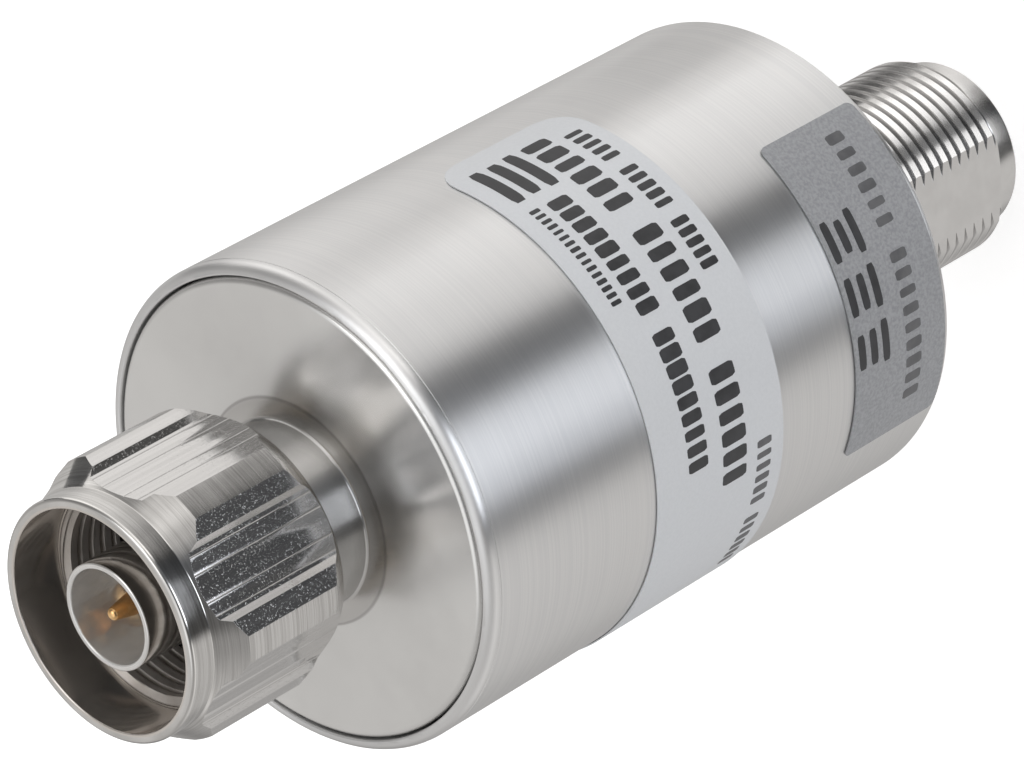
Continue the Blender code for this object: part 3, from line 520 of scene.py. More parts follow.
def mottled(name, dark, light, roughness, metallic=0.0):
    """A plain finish with slight variation, for rubber, plastics and the pieces inside."""
    finish = Finish(name, metallic)
    grain = finish.haze(900, 4.0)
    finish.give("Base Color", finish.tones(grain, dark, light))
    finish.give("Roughness", finish.spread(grain, roughness - 0.06, roughness + 0.06))
    finish.bump(grain, 0.004, 0.4)
    return finish.material


def satin_film(name, dark, light, roughness):
    """Printed film on the housing: smooth, with the housing's lines just telling through."""
    finish = Finish(name)
    lines = finish.noise((70, 70, 2600), 2.0)
    finish.give("Base Color", finish.tones(finish.haze(4200), dark, light))
    finish.give("Roughness", finish.spread(lines, roughness - 0.03, roughness + 0.03))
    finish.bump(lines, 0.002, 0.1)
    return finish.material


# Plain finishes: dark tone, light tone, roughness and, for metals, metallic
PLAIN_FINISHES = {
    "white_insulator": ((0.80, 0.80, 0.77), (0.88, 0.88, 0.85), 0.5),
    "black_rubber": ((0.015, 0.015, 0.015), (0.035, 0.035, 0.035), 0.6),
    "black_ink": ((0.028, 0.028, 0.03), (0.045, 0.045, 0.048), 0.45),
    "grey_ink": ((0.10, 0.10, 0.105), (0.14, 0.14, 0.145), 0.45),
    "brass": ((0.66, 0.50, 0.24), (0.80, 0.63, 0.33), 0.3, 1.0),
    "enamelled_copper": ((0.60, 0.24, 0.11), (0.76, 0.36, 0.18), 0.3, 1.0),
    "steel": ((0.48, 0.48, 0.49), (0.60, 0.60, 0.61), 0.35, 1.0),
    "spring_bronze": ((0.55, 0.43, 0.26), (0.68, 0.55, 0.36), 0.3, 1.0),
    "white_ceramic": ((0.84, 0.83, 0.80), (0.92, 0.91, 0.88), 0.4),
    "blue_coating": ((0.04, 0.11, 0.32), (0.06, 0.16, 0.42), 0.35),
    "black_epoxy": ((0.02, 0.02, 0.02), (0.045, 0.045, 0.045), 0.5),
    "green_board": ((0.01, 0.16, 0.07), (0.03, 0.24, 0.11), 0.45),
}


# ---- Geometry Nodes ----


def new_tree(name, sizes, counts):
    """A Geometry Nodes tree with named inputs for its sizes, its counts and its surface."""
    tree = bpy.data.node_groups.new(name, "GeometryNodeTree")
    kinds = {"Geometry": "Geometry"}
    kinds.update({size: "Float" for size in sizes})
    kinds.update({count: "Int" for count in counts})
    kinds["Surface"] = "Material"
    for label, kind in kinds.items():
        tree.interface.new_socket(label, in_out="INPUT", socket_type="NodeSocket" + kind)
    tree.interface.new_socket("Geometry", in_out="OUTPUT", socket_type="NodeSocketGeometry")
    return tree, add_node(tree, "NodeGroupInput").outputs, add_node(tree, "NodeGroupOutput").inputs


def point_axes(tree):
    """The X, Y and Z of the points of whichever mesh they are used on."""
    position = add_node(tree, "GeometryNodeInputPosition")
    return add_node(tree, "ShaderNodeSeparateXYZ", {0: position.outputs[0]}).outputs


def moved_to(tree, geometry, x, y, z):
    """Moves each point of a mesh."""
    place = add_node(tree, "ShaderNodeCombineXYZ", {"X": x, "Y": y, "Z": z}).outputs[0]
    inputs = {"Geometry": geometry, "Position": place}
    return add_node(tree, "GeometryNodeSetPosition", inputs).outputs[0]


def close_tree(tree, geometry, into, out):
    """Ends a tree with its surface."""
    inputs = {"Geometry": geometry, "Material": into["Surface"]}
    coated = add_node(tree, "GeometryNodeSetMaterial", inputs)
    feed(tree, out["Geometry"], coated.outputs[0])
    return tree


def thread_tree():
    """A helical thread's skin: rows of a grid follow the helix, and both ends fade to the root.

    A row's place in its pitch sets its height: a flat root, a flank, a flat crest and a flank.
    """
    sizes = ("Root Radius", "Crest Radius", "Pitch", "Start", "Length", "Lead")
    tree, into, out = new_tree("thread_skin", sizes, ("Turns", "Steps Round"))
    calc = functools.partial(calculate, tree)
    grid_size = {
        "Size X": 1,
        "Size Y": 1,
        "Vertices X": calc("ADD", into["Steps Round"], 1),
        "Vertices Y": calc("MULTIPLY_ADD", into["Turns"], PITCH_ROWS, 1),
    }
    grid = add_node(tree, "GeometryNodeMeshGrid", grid_size)
    point = point_axes(tree)
    round_share = calc("ADD", point["X"], 0.5)
    row = calc("MULTIPLY", calc("ADD", point["Y"], 0.5), into["Turns"])
    phase = calc("FRACT", calc("ADD", row, 0.5 / PITCH_ROWS))
    from_root = calc("ABSOLUTE", calc("SUBTRACT", phase, 0.5))
    slope, offset = PITCH_ROWS / FLANK_ROWS, -0.5 / FLANK_ROWS
    wave = calc("MULTIPLY_ADD", from_root, slope, offset, clamp=True)
    turns = calc("ADD", calc("SUBTRACT", row, 1), round_share)
    reach = calc("MULTIPLY", turns, into["Pitch"])
    along = calc("MAXIMUM", calc("MINIMUM", reach, into["Length"]), 0)
    from_end = calc("SUBTRACT", into["Length"], along)
    fade = calc("DIVIDE", calc("MINIMUM", along, from_end), into["Lead"], clamp=True)
    depth = calc("SUBTRACT", into["Crest Radius"], into["Root Radius"])
    radius = calc("MULTIPLY_ADD", calc("MINIMUM", wave, fade), depth, into["Root Radius"])
    angle = calc("MULTIPLY", round_share, math.tau)
    x = calc("MULTIPLY", radius, calc("COSINE", angle))
    y = calc("MULTIPLY", radius, calc("SINE", angle))
    z = calc("ADD", along, into["Start"])
    skin = moved_to(tree, grid.outputs["Mesh"], x, y, z)
    merged = add_node(tree, "GeometryNodeMergeByDistance", {"Geometry": skin, "Distance": 1e-4})
    return close_tree(tree, merged.outputs[0], into, out)


# A printed block: its ends are squeezed by a power of the distance from its middle, and its width
# varies between the narrowest and one
END_POWER = 9
END_SQUEEZE = 150
NARROWEST_BLOCK = 0.72


def print_tree():
    """A row of plain printed blocks wrapped round the housing, with gaps as between words."""
    sizes = ("Bottom", "Height", "First Azimuth", "Pitch", "Fill", "Radius", "Thickness")
    tree, into, out = new_tree("print_row", sizes, ("Count", "Word Length", "Seed"))
    calc = functools.partial(calculate, tree)
    point = point_axes(tree)

    columns = {"Vertices X": BLOCK_COLUMNS, "Vertices Y": 2, "Vertices Z": 2}
    cube = add_node(tree, "GeometryNodeMeshCube", columns)
    toward_end = calc("POWER", calc("ABSOLUTE", point["X"]), END_POWER)
    squeezed = calc("MULTIPLY", point["Z"], calc("MULTIPLY_ADD", toward_end, -END_SQUEEZE, 1))
    stamp = moved_to(tree, cube.outputs["Mesh"], point["X"], point["Y"], squeezed)

    row = add_node(tree, "GeometryNodeMeshLine", {"Count": into["Count"], "Offset": (1, 0, 0)})
    limits = {2: NARROWEST_BLOCK, 3: 1.0, "Seed": into["Seed"]}
    share = add_node(tree, "FunctionNodeRandomValue", limits).outputs[1]
    width = calc("MULTIPLY", share, into["Fill"])
    size = add_node(tree, "ShaderNodeCombineXYZ", {"X": width, "Y": 1, "Z": 1})
    index = add_node(tree, "GeometryNodeInputIndex").outputs[0]
    letter = calc("MODULO", index, into["Word Length"])
    # The last letter of each word is left out, and half a step keeps the test off whole numbers.
    word_end = calc("SUBTRACT", into["Word Length"], 1.5)
    inputs = {
        "Points": row.outputs["Mesh"],
        "Selection": calc("LESS_THAN", letter, word_end),
        "Instance": stamp,
        "Scale": size.outputs[0],
    }
    copies = add_node(tree, "GeometryNodeInstanceOnPoints", inputs)
    real = add_node(tree, "GeometryNodeRealizeInstances", {0: copies.outputs[0]})

    step = calc("ADD", point["X"], 0.5)
    angle = calc("RADIANS", calc("MULTIPLY_ADD", step, into["Pitch"], into["First Azimuth"]))
    rise = calc("ADD", point["Y"], 0.5)
    reach = calc("MULTIPLY_ADD", rise, into["Thickness"], into["Radius"])
    x = calc("MULTIPLY", reach, calc("SINE", angle))
    y = calc("MULTIPLY", calc("MULTIPLY", reach, calc("COSINE", angle)), -1)
    up = calc("ADD", point["Z"], 0.5)
    z = calc("MULTIPLY_ADD", up, into["Height"], into["Bottom"])
    wrapped = moved_to(tree, real.outputs[0], x, y, z)
    return close_tree(tree, wrapped, into, out)


def grown(tree, surface, work=None, **sizes):
    """Runs a tree with these inputs and adds its mesh, in millimetres, to a bmesh."""
    holder = placed("holder", bpy.data.meshes.new("holder"))
    modifier = holder.modifiers.new("Rule", "NODES")
    modifier.node_group = tree
    values = {name.replace("_", " ").title(): value for name, value in sizes.items()}
    values["Surface"] = surface
    for socket in tree.interface.items_tree:
        if socket.name in values and socket.in_out == "INPUT":
            modifier[socket.identifier] = values[socket.name]
    apply_modifiers(holder)
    work = work or bmesh.new()
    work.from_mesh(holder.data)
    bpy.data.objects.remove(holder)
    return work


# ---- pieces ----


def make_housing(surface):
    rim_line = HOUSING_RADIUS - RIM_LINE_DEPTH
    corners = [
        (0, REAR_WALL_TOP),
        (HOUSING_BORE, REAR_WALL_TOP, 1.0),
        (HOUSING_BORE, CAP_SEAT_HEIGHT),
        (CAP_SEAT, CAP_SEAT_HEIGHT),
        (CAP_SEAT, RIM_FACE, 0.15),
        (HOUSING_RADIUS, RIM_FACE, 0.75),
        (HOUSING_RADIUS, 70.05),
        (rim_line, 70.0),
        (rim_line, 69.92),
        (HOUSING_RADIUS, 69.87),
        (HOUSING_RADIUS, REAR_FACE, 0.5),
        (0, REAR_FACE),
    ]
    make_turned("housing_shell", corners, FINE_STEPS, surface, "turned_aluminium", "housing")


def make_front_cap(surface):
    corners = [
        (FERRULE_SEAT, NECK_FRONT),
        (NECK_RADIUS, NECK_FRONT, 0.1),
        (NECK_RADIUS, 77.65),
        (NECK_GROOVE, 77.65),
        (NECK_GROOVE, 76.65),
        (NECK_RADIUS, 76.65),
        (NECK_RADIUS, PAD_FACE, 0.25),
        (8.15, PAD_FACE),
        (8.6, RIM_FACE),
        (CAP_EDGE, RIM_FACE, 0.45),
        (CAP_EDGE, 69.75),
        (CAP_RADIUS, 69.7),
        (SEAL_GROOVE, 69.7),
        (SEAL_GROOVE, 68.1),
        (CAP_RADIUS, 68.1),
        (CAP_RADIUS, CAP_REAR),
        (BOSS_RADIUS, CAP_REAR),
        (BOSS_RADIUS, BOSS_REAR),
        (CONTACT_BORE, BOSS_REAR),
        (CONTACT_BORE, 75.65),
        (FERRULE_SEAT, 75.65),
    ]
    make_turned("cap_and_neck", corners, FINE_STEPS, surface, "polished_plate", "front_cap")


def make_plug(plate, gold, white, rubber):
    ferrule = [
        (CONTACT_BORE, FERRULE_FRONT, 0.12),
        (FERRULE_RADIUS, FERRULE_FRONT, 0.12),
        (FERRULE_RADIUS, FERRULE_REAR),
        (CONTACT_BORE, FERRULE_REAR),
    ]
    make_turned("outer_contact", ferrule, ROUND_STEPS, plate, "polished_plate", "plug_ferrule")
    pin = [
        (0, 88.6),
        (0.42, 88.6, 0.36),
        (PIN_TIP, 86.7, 0.6),
        (PIN_TIP, 83.5, 0.3),
        (PIN_RADIUS, 83.0, 0.2),
        (PIN_RADIUS, BOSS_REAR),
        (WIRE_RADIUS, BOSS_REAR),
        (WIRE_RADIUS, 60.55),
        (0, 60.55),
    ]
    make_turned("centre_pin", pin, ROUND_STEPS, gold, "gold_plate", "plug_pin")
    for name, node, rear in (
        ("plug_insulator", "plug_bead", PLUG_BEAD_REAR),
        ("jack_insulator", "jack_bead", JACK_BEAD_REAR),
    ):
        bead = [
            (BEAD_HOLE, rear + BEAD_LENGTH),
            (BEAD_RADIUS, rear + BEAD_LENGTH, 0.1),
            (BEAD_RADIUS, rear, 0.1),
            (BEAD_HOLE, rear),
        ]
        make_turned(name, bead, ROUND_STEPS, white, "white_insulator", node)
    washer = [
        (WASHER_HOLE, WASHER_FRONT, 0.1),
        (WASHER_RADIUS, WASHER_FRONT, 0.2),
        (WASHER_RADIUS, WASHER_REAR, 0.2),
        (WASHER_HOLE, WASHER_REAR, 0.1),
    ]
    make_turned("sealing_washer", washer, ROUND_STEPS, rubber, "black_rubber", "plug_gasket")


def make_jack(tree, plain, threaded):
    """The jack: thread skin, plain ring, bore and flange, with the flat cut along the thread."""
    work = grown(
        tree,
        threaded,
        root_radius=THREAD_ROOT,
        crest_radius=THREAD_RADIUS,
        pitch=THREAD_PITCH,
        start=THREAD_START,
        length=FLANGE_BOTTOM - THREAD_START,
        lead=0.4,
        turns=24,
        steps_round=ROUND_STEPS,
    )
    ring_and_bore = [
        (THREAD_ROOT, THREAD_START),
        (RING_RADIUS, RING_TOP),
        (RING_RADIUS, 0, 0.25),
        (4.4, 0, 0.05),
        (JACK_MOUTH, 0.3, 0.05),
        (JACK_MOUTH, JACK_MOUTH_DEPTH),
        (CONTACT_BORE, JACK_MOUTH_DEPTH),
        (CONTACT_BORE, FLANGE_BOTTOM),
        (THREAD_ROOT, FLANGE_BOTTOM),
    ]
    turn_profile(work, rounded(ring_and_bore), ROUND_STEPS, False)
    bmesh.ops.remove_doubles(work, verts=work.verts, dist=1e-3)
    cut = bmesh.ops.bisect_plane(
        work,
        geom=work.verts[:] + work.edges[:] + work.faces[:],
        plane_co=(0, -JACK_FLAT, 0),
        plane_no=(0, -1, 0),
        clear_outer=True,
        dist=1e-5,
    )
    edges = [edge for edge in cut["geom_cut"] if isinstance(edge, bmesh.types.BMEdge)]
    bmesh.ops.edgenet_fill(work, edges=edges)
    flange = [
        (SLEEVE_RADIUS, SLEEVE_TOP),
        (SLEEVE_RADIUS, FLANGE_TOP),
        (FLANGE_RADIUS, FLANGE_TOP, 0.2),
        (FLANGE_RADIUS, FLANGE_BOTTOM, 0.2),
        (THREAD_ROOT, FLANGE_BOTTOM),
        (CONTACT_BORE, FLANGE_BOTTOM),
        (CONTACT_BORE, SLEEVE_TOP),
    ]
    turn_profile(work, rounded(flange), ROUND_STEPS, True)
    bmesh.ops.recalc_face_normals(work, faces=work.faces)
    jack = new_piece("threaded_jack", work, THREAD_SHARP)
    coat(jack, plain, threaded)
    for face in jack.data.polygons:
        middle = face.center / MM
        on_thread = THREAD_ROOT - 0.05 < middle.xy.length < THREAD_RADIUS + 0.01
        face.material_index = int(on_thread and middle.y > 0.01 - JACK_FLAT)
    dress(jack, "arrestor_body", "polished_plate", "jack_body")


def make_socket(gold):
    """The jack's contact, with its mouth slotted crosswise."""
    corners = [
        (0, 41.45),
        (WIRE_RADIUS, 41.45, 0.1),
        (WIRE_RADIUS, SLEEVE_TOP),
        (PIN_RADIUS, SLEEVE_TOP),
        (PIN_RADIUS, 5.0, 0.3),
        (SOCKET_BORE, 5.0, 0.1),
        (SOCKET_BORE, 10.5),
        (0, 10.5),
    ]
    socket = lathe("slotted_contact", corners, SOCKET_STEPS)
    width, length, depth = SLOT_SIZE
    slots = bmesh.new()
    for size in ((width, length, depth), (length, width, depth)):
        place = Matrix.Translation((0, 0, SLOT_HEIGHT)) @ Matrix.Diagonal((*size, 1))
        bmesh.ops.create_cube(slots, size=1, matrix=place)
    cut_by(socket, new_piece("slots", slots), "DIFFERENCE")
    coat(socket, gold)
    dress(socket, "arrestor_body", "gold_plate", "jack_socket")


def bar_outline():
    """The drawn bar's section: a recess along each flat, with fine lines drawn in its floor."""
    floor = NUT_FLAT - RECESS_DEPTH
    corner = NUT_FLAT * math.tan(math.pi / 6)
    side = [(NUT_FLAT, -corner), (NUT_FLAT, -RECESS_TOP), (floor, -RECESS_FOOT)]
    for line in DRAW_LINES:
        side += [
            (floor, line - DRAW_LINE_REACH),
            (floor - DRAW_LINE_DEPTH, line),
            (floor, line + DRAW_LINE_REACH),
        ]
    side += [(floor, RECESS_FOOT), (NUT_FLAT, RECESS_TOP)]
    points = []
    for face in range(6):
        facing = Matrix.Rotation(math.radians(CORNER_AZIMUTH - 60 + face * 60), 2)
        points += [facing @ Vector(point) for point in side]
    return points


def drawn_bar():
    """A length of the bar, a little longer than the nut."""
    work = bmesh.new()
    outline = bar_outline()
    bottom, top = NUT_REAR - 1, NUT_REAR + NUT_LENGTH + 1
    low = [work.verts.new((across, along, bottom)) for across, along in outline]
    high = [work.verts.new((across, along, top)) for across, along in outline]
    work.faces.new(low)
    work.faces.new(high)
    for index in range(len(outline)):
        after = (index + 1) % len(outline)
        work.faces.new((low[index], low[after], high[after], high[index]))
    bmesh.ops.recalc_face_normals(work, faces=work.faces)
    return new_piece("drawn_bar", work)


def make_nut(turned, drawn):
    """A turned blank met with the drawn bar."""
    corners = [
        (NUT_MOUTH, NUT_LENGTH, 0.1),
        (NUT_COLLAR, NUT_LENGTH, 0.28),
        (NUT_COLLAR, 12.3, 0.15),
        (NUT_CORNER, 10.3),
        (NUT_CORNER, 2.0),
        (NUT_COLLAR, 0, 0.1),
        (NUT_BORE, 0, 0.1),
        (NUT_BORE, 1.0),
        (NUT_RING_GROOVE, 1.0),
        (NUT_RING_GROOVE, 2.3),
        (NUT_BORE, 2.3),
        (NUT_BORE, 3.3),
        (NUT_RELIEF, 3.3),
        (NUT_RELIEF, NUT_THREAD_FRONT),
        (NUT_MOUTH, NUT_THREAD_FRONT),
    ]
    lifted = [(corner[0], corner[1] + NUT_REAR, *corner[2:]) for corner in corners]
    nut = lathe("turned_nut", lifted, FINE_STEPS)
    bar = drawn_bar()
    coat(nut, turned)
    coat(bar, drawn)
    cut_by(nut, bar, "INTERSECT")
    bevel = nut.modifiers.new("Edges", "BEVEL")
    bevel.width = NUT_BEVEL * MM
    bevel.segments = 1
    bevel.limit_method = "ANGLE"
    bevel.angle_limit = math.radians(25)
    apply_modifiers(nut)
    shade(nut, NUT_SHARP)
    dress(nut, "nut", "nickel", "coupling_nut")


def make_nut_thread(tree, surface):
    """The nut's thread, as a sleeve in its bore."""
    rear, front = NUT_REAR + NUT_THREAD_REAR, NUT_REAR + NUT_THREAD_FRONT
    work = grown(
        tree,
        surface,
        root_radius=NUT_THREAD_ROOT,
        crest_radius=NUT_THREAD_CREST,
        pitch=THREAD_PITCH,
        start=rear,
        length=NUT_THREAD_FRONT - NUT_THREAD_REAR,
        lead=0.2,
        turns=6,
        steps_round=ROUND_STEPS,
    )
    outside = [
        (NUT_THREAD_ROOT, front),
        (NUT_THREAD_OUTSIDE, front),
        (NUT_THREAD_OUTSIDE, rear),
        (NUT_THREAD_ROOT, rear),
    ]
    turn_profile(work, rounded(outside), ROUND_STEPS, False)
    bmesh.ops.remove_doubles(work, verts=work.verts, dist=1e-3)
    bmesh.ops.recalc_face_normals(work, faces=work.faces)
    thread = new_piece("nut_thread", work, THREAD_SHARP)
    coat(thread, surface)
    dress(thread, "nut", "nickel")


def make_label(name, label, surface, slot, node):
    """A sheet with round corners wrapped round the housing, closed on all sides."""
    bottom, top, first, last, corner = label
    work = bmesh.new()
    bmesh.ops.create_grid(work, x_segments=1, y_segments=1, size=0.5)
    width = math.radians(last - first) * LABEL_RADIUS
    bmesh.ops.scale(work, vec=(width, top - bottom, 1), verts=work.verts)
    bmesh.ops.bevel(
        work,
        geom=work.verts[:],
        offset=corner,
        offset_type="OFFSET",
        segments=ARC_STEPS,
        profile=0.5,
        affect="VERTICES",
    )
    slices = round((last - first) / SLICE_DEGREES)
    for cut in range(1, slices):
        line = (width * (cut / slices - 0.5), 0, 0)
        everything = work.verts[:] + work.edges[:] + work.faces[:]
        bmesh.ops.bisect_plane(
            work, geom=everything, plane_co=line, plane_no=(1, 0, 0), dist=1e-5
        )
    back = bmesh.ops.extrude_face_region(work, geom=work.faces[:])
    raised = {element for element in back["geom"] if isinstance(element, bmesh.types.BMVert)}
    middle = (bottom + top) / 2
    for vert in work.verts:
        turn = math.radians((first + last) / 2) + vert.co.x / LABEL_RADIUS
        reach = LABEL_RADIUS + (LABEL_THICKNESS if vert in raised else 0)
        vert.co = (reach * math.sin(turn), -reach * math.cos(turn), middle + vert.co.y)
    bmesh.ops.recalc_face_normals(work, faces=work.faces)
    patch = new_piece(name, work, LABEL_SHARP)
    coat(patch, surface)
    dress(patch, "arrestor_body", slot, node)


# Rows of plain blocks where print would be: bottom, height, first and last azimuth, count, fill
# and word length
WHITE_ROWS = [
    (51.75, 0.95, 38.6, 67.6, 16, 0.62, 99),
    (49.0, 2.0, -3.6, 67.5, 19, 0.88, 10),
    (44.95, 2.5, -12.0, 86.0, 20, 0.80, 7),
    (42.3, 1.65, 36.0, 85.5, 18, 0.72, 6),
    (48.2, 1.1, 70.0, 86.0, 1, 1.0, 99),
    (49.9, 1.1, 70.0, 86.0, 1, 1.0, 99),
    (51.6, 1.1, 70.0, 86.0, 1, 1.0, 99),
]
WHITE_FAINT_ROWS = [(42.3, 1.5, -44.0, -1.0, 14, 0.68, 7)]
SILVER_ROWS = [
    (29.2, 0.75, -5.0, 34.5, 3, 0.80, 99),
    (30.5, 0.75, -5.0, 34.5, 3, 0.80, 99),
    (31.8, 0.75, -5.0, 34.5, 3, 0.80, 99),
]
SILVER_FAINT_ROWS = [(25.7, 1.7, -18.0, 50.0, 16, 0.62, 10)]


def make_print(tree, name, rows, slot, ink):
    """The blocks printed on one label in one ink, as one piece."""
    work = bmesh.new()
    for seed, (bottom, height, first, last, count, fill, word) in enumerate(rows):
        grown(
            tree,
            ink,
            work,
            bottom=bottom,
            height=height,
            first_azimuth=first,
            pitch=(last - first) / count,
            fill=fill,
            radius=LABEL_RADIUS + LABEL_THICKNESS,
            thickness=INK_THICKNESS,
            count=count,
            word_length=word,
            seed=seed,
        )
    bmesh.ops.recalc_face_normals(work, faces=work.faces)
    piece = new_piece(name, work)
    coat(piece, ink)
    dress(piece, "arrestor_body", slot)


# ---- stage ----

MIDDLE = Vector((0, 0, 0.045))

FLOOR_REACH = 3.0
FLOOR_TONE = 0.86
FLOOR_GLOW = 0.62

# Azimuth, elevation, distance, width, height and brightness
SOFTBOXES = {
    "top_softbox": (100, 68, 0.9, 0.5, 0.5, 1.2),
    "low_softbox_front": (22, -45.7, 0.358, 0.14, 0.05, 1.5),
    "low_softbox_side": (86, -45.7, 0.358, 0.27, 0.05, 1.3),
    "low_softbox_ring": (28, -48.9, 0.38, 0.34, 0.022, 0.42),
}

# Azimuth, elevation, distance, width, height and tone
CARDS = {
    "low_card": (150, -45.7, 0.358, 0.2, 0.05, 0.03),
    "side_card": (161, 6, 0.4, 0.13, 0.11, 0.14),
}

# Brightness of the studio walls by azimuth, for three heights, and overhead
BRIGHTEST = 8
LOW_WALL = [
    (-180, 0.56), (-140, 0.38), (-110, 0.38), (-84, 0.58), (-42, 0.62), (-26, 0.60), (-14, 0.08),
    (34, 0.07), (48, 0.05), (58, 0.06), (80, 0.34), (100, 0.66), (124, 0.86), (146, 0.88),
    (180, 0.56),
]
MIDDLE_WALL = [
    (-180, 0.60), (-146, 0.44), (-126, 0.26), (-104, 0.46), (-80, 0.80), (-20, 0.98), (-13, 0.12),
    (-5, 0.14), (2, 3.2), (28, 3.2), (36, 0.20), (52, 0.16), (62, 1.78), (84, 1.40), (98, 1.15),
    (130, 1.4), (180, 0.60),
]
HIGH_WALL = [
    (-180, 0.40), (-166, 0.56), (-150, 0.72), (-130, 0.62), (-60, 0.50), (-30, 0.36), (-14, 0.15),
    (40, 0.15), (62, 0.60), (78, 0.95), (92, 0.80), (112, 0.36), (130, 0.28), (150, 0.28),
    (172, 0.34), (180, 0.40),
]
SKY_TONE = 1.1

# The walls are cool between these azimuths and warm elsewhere
COOL_FROM, COOL_TO = -14, 56
COOL, WARM = (0.92, 0.955, 1.02), (1.015, 0.995, 0.975)

# Sines of the elevations over which one height passes into the next
LOW_TO_MIDDLE = (-0.48, -0.26)
MIDDLE_TO_HIGH = (0.06, 0.28)
HIGH_TO_SKY = (0.72, 0.92)

CAMERA_LENS = 200.3
CAMERA_SENSOR = 36
CAMERA_PLACE = (0.176001, -0.258735, 0.304226)
CAMERA_RIGHT = Vector((-0.09552, -0.73116, -0.67549))
CAMERA_UP = Vector((0.89547, 0.23325, -0.37911))


def stage_sheet(name, corners, tone, specular):
    """A matt sheet that isn't part of the object, and its shader tree."""
    mesh = bpy.data.meshes.new(name)
    mesh.from_pydata(corners, [], [(0, 1, 2, 3)])
    sheet = placed(name, mesh)
    material = bpy.data.materials.new(name)
    material.use_nodes = True
    shader = material.node_tree.nodes["Principled BSDF"]
    shader.inputs["Base Color"].default_value = (tone, tone, tone, 1)
    shader.inputs["Specular IOR Level"].default_value = specular
    mesh.materials.append(material)
    return sheet, material.node_tree


def make_floor():
    """A pale floor that keeps the shadow. Reflections see the studio walls in its place."""
    side = FLOOR_REACH
    corners = [(-side, -side, 0), (side, -side, 0), (side, side, 0), (-side, side, 0)]
    floor, tree = stage_sheet("floor", corners, FLOOR_TONE, 0.1)
    shader = tree.nodes["Principled BSDF"]
    shader.inputs["Roughness"].default_value = 0.9
    camera_ray = add_node(tree, "ShaderNodeLightPath").outputs["Is Camera Ray"]
    strength = calculate(tree, "MULTIPLY", camera_ray, FLOOR_GLOW)
    glow = add_node(tree, "ShaderNodeEmission", {"Strength": strength})
    add = add_node(tree, "ShaderNodeAddShader", {0: shader.outputs[0], 1: glow.outputs[0]})
    feed(tree, tree.nodes["Material Output"].inputs["Surface"], add.outputs[0])
    floor.visible_glossy = False
    floor.visible_shadow = False


def wall_tones(tree, turn, stops):
    """Brightness by azimuth, held between stops by smooth steps."""
    node = add_node(tree, "ShaderNodeValToRGB", {"Fac": turn})
    node.color_ramp.interpolation = "EASE"
    elements = node.color_ramp.elements
    while len(elements) < len(stops):
        elements.new(0.5)
    for element, (azimuth, tone) in zip(elements, stops):
        element.position = (azimuth + 180) / 360
        tint = COOL if COOL_FROM < azimuth < COOL_TO else WARM
        element.color = (*[tone / BRIGHTEST * share for share in tint], 1)
    return node.outputs["Color"]


def make_world():
    """Studio walls at three heights and a plain sky. The camera sees plain white."""
    world = bpy.data.worlds.new("studio")
    bpy.context.scene.world = world
    world.use_nodes = True
    tree = world.node_tree
    generated = add_node(tree, "ShaderNodeTexCoord").outputs["Generated"]
    direction = add_node(tree, "ShaderNodeSeparateXYZ", {0: generated}).outputs
    forward = calculate(tree, "MULTIPLY", direction["Y"], -1)
    azimuth = calculate(tree, "ARCTAN2", direction["X"], forward)
    turn = calculate(tree, "MULTIPLY_ADD", azimuth, 1 / math.tau, 0.5)
    seen = wall_tones(tree, turn, LOW_WALL)
    for heights, above in (
        (LOW_TO_MIDDLE, wall_tones(tree, turn, MIDDLE_WALL)),
        (MIDDLE_TO_HIGH, wall_tones(tree, turn, HIGH_WALL)),
        (HIGH_TO_SKY, (SKY_TONE / BRIGHTEST,) * 3),
    ):
        seen = mix_tones(tree, smooth_step(tree, direction["Z"], *heights), seen, above)
    camera_ray = add_node(tree, "ShaderNodeLightPath").outputs["Is Camera Ray"]
    seen = mix_tones(tree, camera_ray, seen, (1 / BRIGHTEST,) * 3)
    background = tree.nodes["Background"]
    feed(tree, background.inputs["Color"], seen)
    background.inputs["Strength"].default_value = BRIGHTEST


def bearing(azimuth, elevation, distance):
    """A place in a direction from the arrestor's middle, and the turn that faces the middle."""
    across = distance * math.cos(math.radians(elevation))
    rise = distance * math.sin(math.radians(elevation))
    turn = math.radians(azimuth)
    place = Vector((across * math.sin(turn), -across * math.cos(turn), MIDDLE.z + rise))
    return place, (place - MIDDLE).to_track_quat("Z", "Y")


def make_softbox(name, azimuth, elevation, distance, width, height, brightness):
    data = bpy.data.lights.new(name, "AREA")
    data.shape = "RECTANGLE"
    data.size = width
    data.size_y = height
    data.energy = brightness * math.pi * width * height
    lamp = placed(name, data)
    lamp.location, facing = bearing(azimuth, elevation, distance)
    lamp.rotation_euler = facing.to_euler()


def make_card(name, azimuth, elevation, distance, width, height, tone):
    """A dark card that only reflections see."""
    place, facing = bearing(azimuth, elevation, distance)
    across, up = width / 2, height / 2
    flat = [(-across, -up, 0), (across, -up, 0), (across, up, 0), (-across, up, 0)]
    turn = facing.to_matrix()
    card, _ = stage_sheet(name, [place + turn @ Vector(corner) for corner in flat], tone, 0)
    card.visible_camera = False
    card.visible_diffuse = False
    card.visible_shadow = False


def make_camera():
    data = bpy.data.cameras.new("camera")
    data.lens = CAMERA_LENS
    data.sensor_width = CAMERA_SENSOR
    data.clip_start = 0.01
    camera = placed("camera", data)
    axes = Matrix((CAMERA_RIGHT, CAMERA_UP, CAMERA_RIGHT.cross(CAMERA_UP)))
    camera.matrix_world = axes.transposed().to_4x4()
    camera.location = CAMERA_PLACE
    bpy.context.scene.camera = camera


# ---- assembly ----

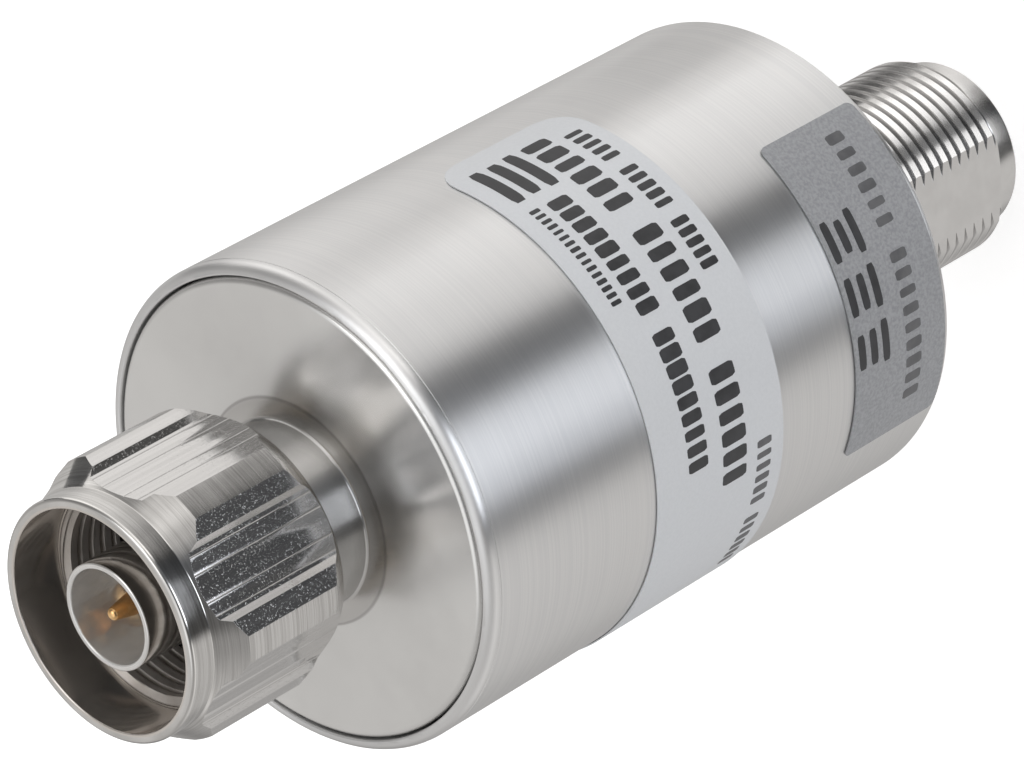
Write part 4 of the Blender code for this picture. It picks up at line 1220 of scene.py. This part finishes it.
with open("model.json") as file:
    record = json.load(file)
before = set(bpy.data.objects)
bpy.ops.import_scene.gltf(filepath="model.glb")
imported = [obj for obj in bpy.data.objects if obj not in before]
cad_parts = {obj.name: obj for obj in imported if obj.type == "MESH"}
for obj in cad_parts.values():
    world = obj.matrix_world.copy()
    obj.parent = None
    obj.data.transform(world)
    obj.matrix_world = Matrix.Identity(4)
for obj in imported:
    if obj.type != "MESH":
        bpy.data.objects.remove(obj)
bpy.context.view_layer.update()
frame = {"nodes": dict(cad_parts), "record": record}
bpy.context.scene.view_settings.view_transform = "Standard"

finishes = {name: mottled(name, *values) for name, values in PLAIN_FINISHES.items()}
finishes["nickel"] = turned_nickel()
gold = gold_plate()
ink, faint_ink = finishes["black_ink"], finishes["grey_ink"]
white_film = satin_film("white_film", (0.685, 0.70, 0.72), (0.71, 0.725, 0.745), 0.36)
silver_film = satin_film("silver_film", (0.29, 0.295, 0.308), (0.385, 0.39, 0.404), 0.42)

make_housing(turned_aluminium())
make_front_cap(faced_plate())
make_plug(polished_plate(), gold, finishes["white_insulator"], finishes["black_rubber"])
thread = thread_tree()
make_jack(thread, jack_finish("jack_plate", False), jack_finish("thread_plate", True))
make_socket(gold)
make_nut(finishes["nickel"], drawn_nickel())
make_nut_thread(thread, bore_nickel())
make_label("white_label", WHITE_LABEL, white_film, "white_film", "main_label")
make_label("silver_label", SILVER_LABEL, silver_film, "silver_film", "side_label")
print_row = print_tree()
make_print(print_row, "white_label_print", WHITE_ROWS, "white_film", ink)
make_print(print_row, "white_label_faint_print", WHITE_FAINT_ROWS, "white_film", faint_ink)
make_print(print_row, "silver_label_print", SILVER_ROWS, "silver_film", ink)
make_print(print_row, "silver_label_faint_print", SILVER_FAINT_ROWS, "silver_film", faint_ink)

# The pieces inside keep the meshes of their solids and get a finish for their slot.
for part in frame["record"]["subparts"]:
    surface = finishes.get(part["material_slot"])
    node = frame["nodes"][part["node"]]
    if surface and not node.hide_render:
        coat(node, surface)

make_floor()
make_world()
for name, settings in SOFTBOXES.items():
    make_softbox(name, *settings)
for name, settings in CARDS.items():
    make_card(name, *settings)
make_camera()
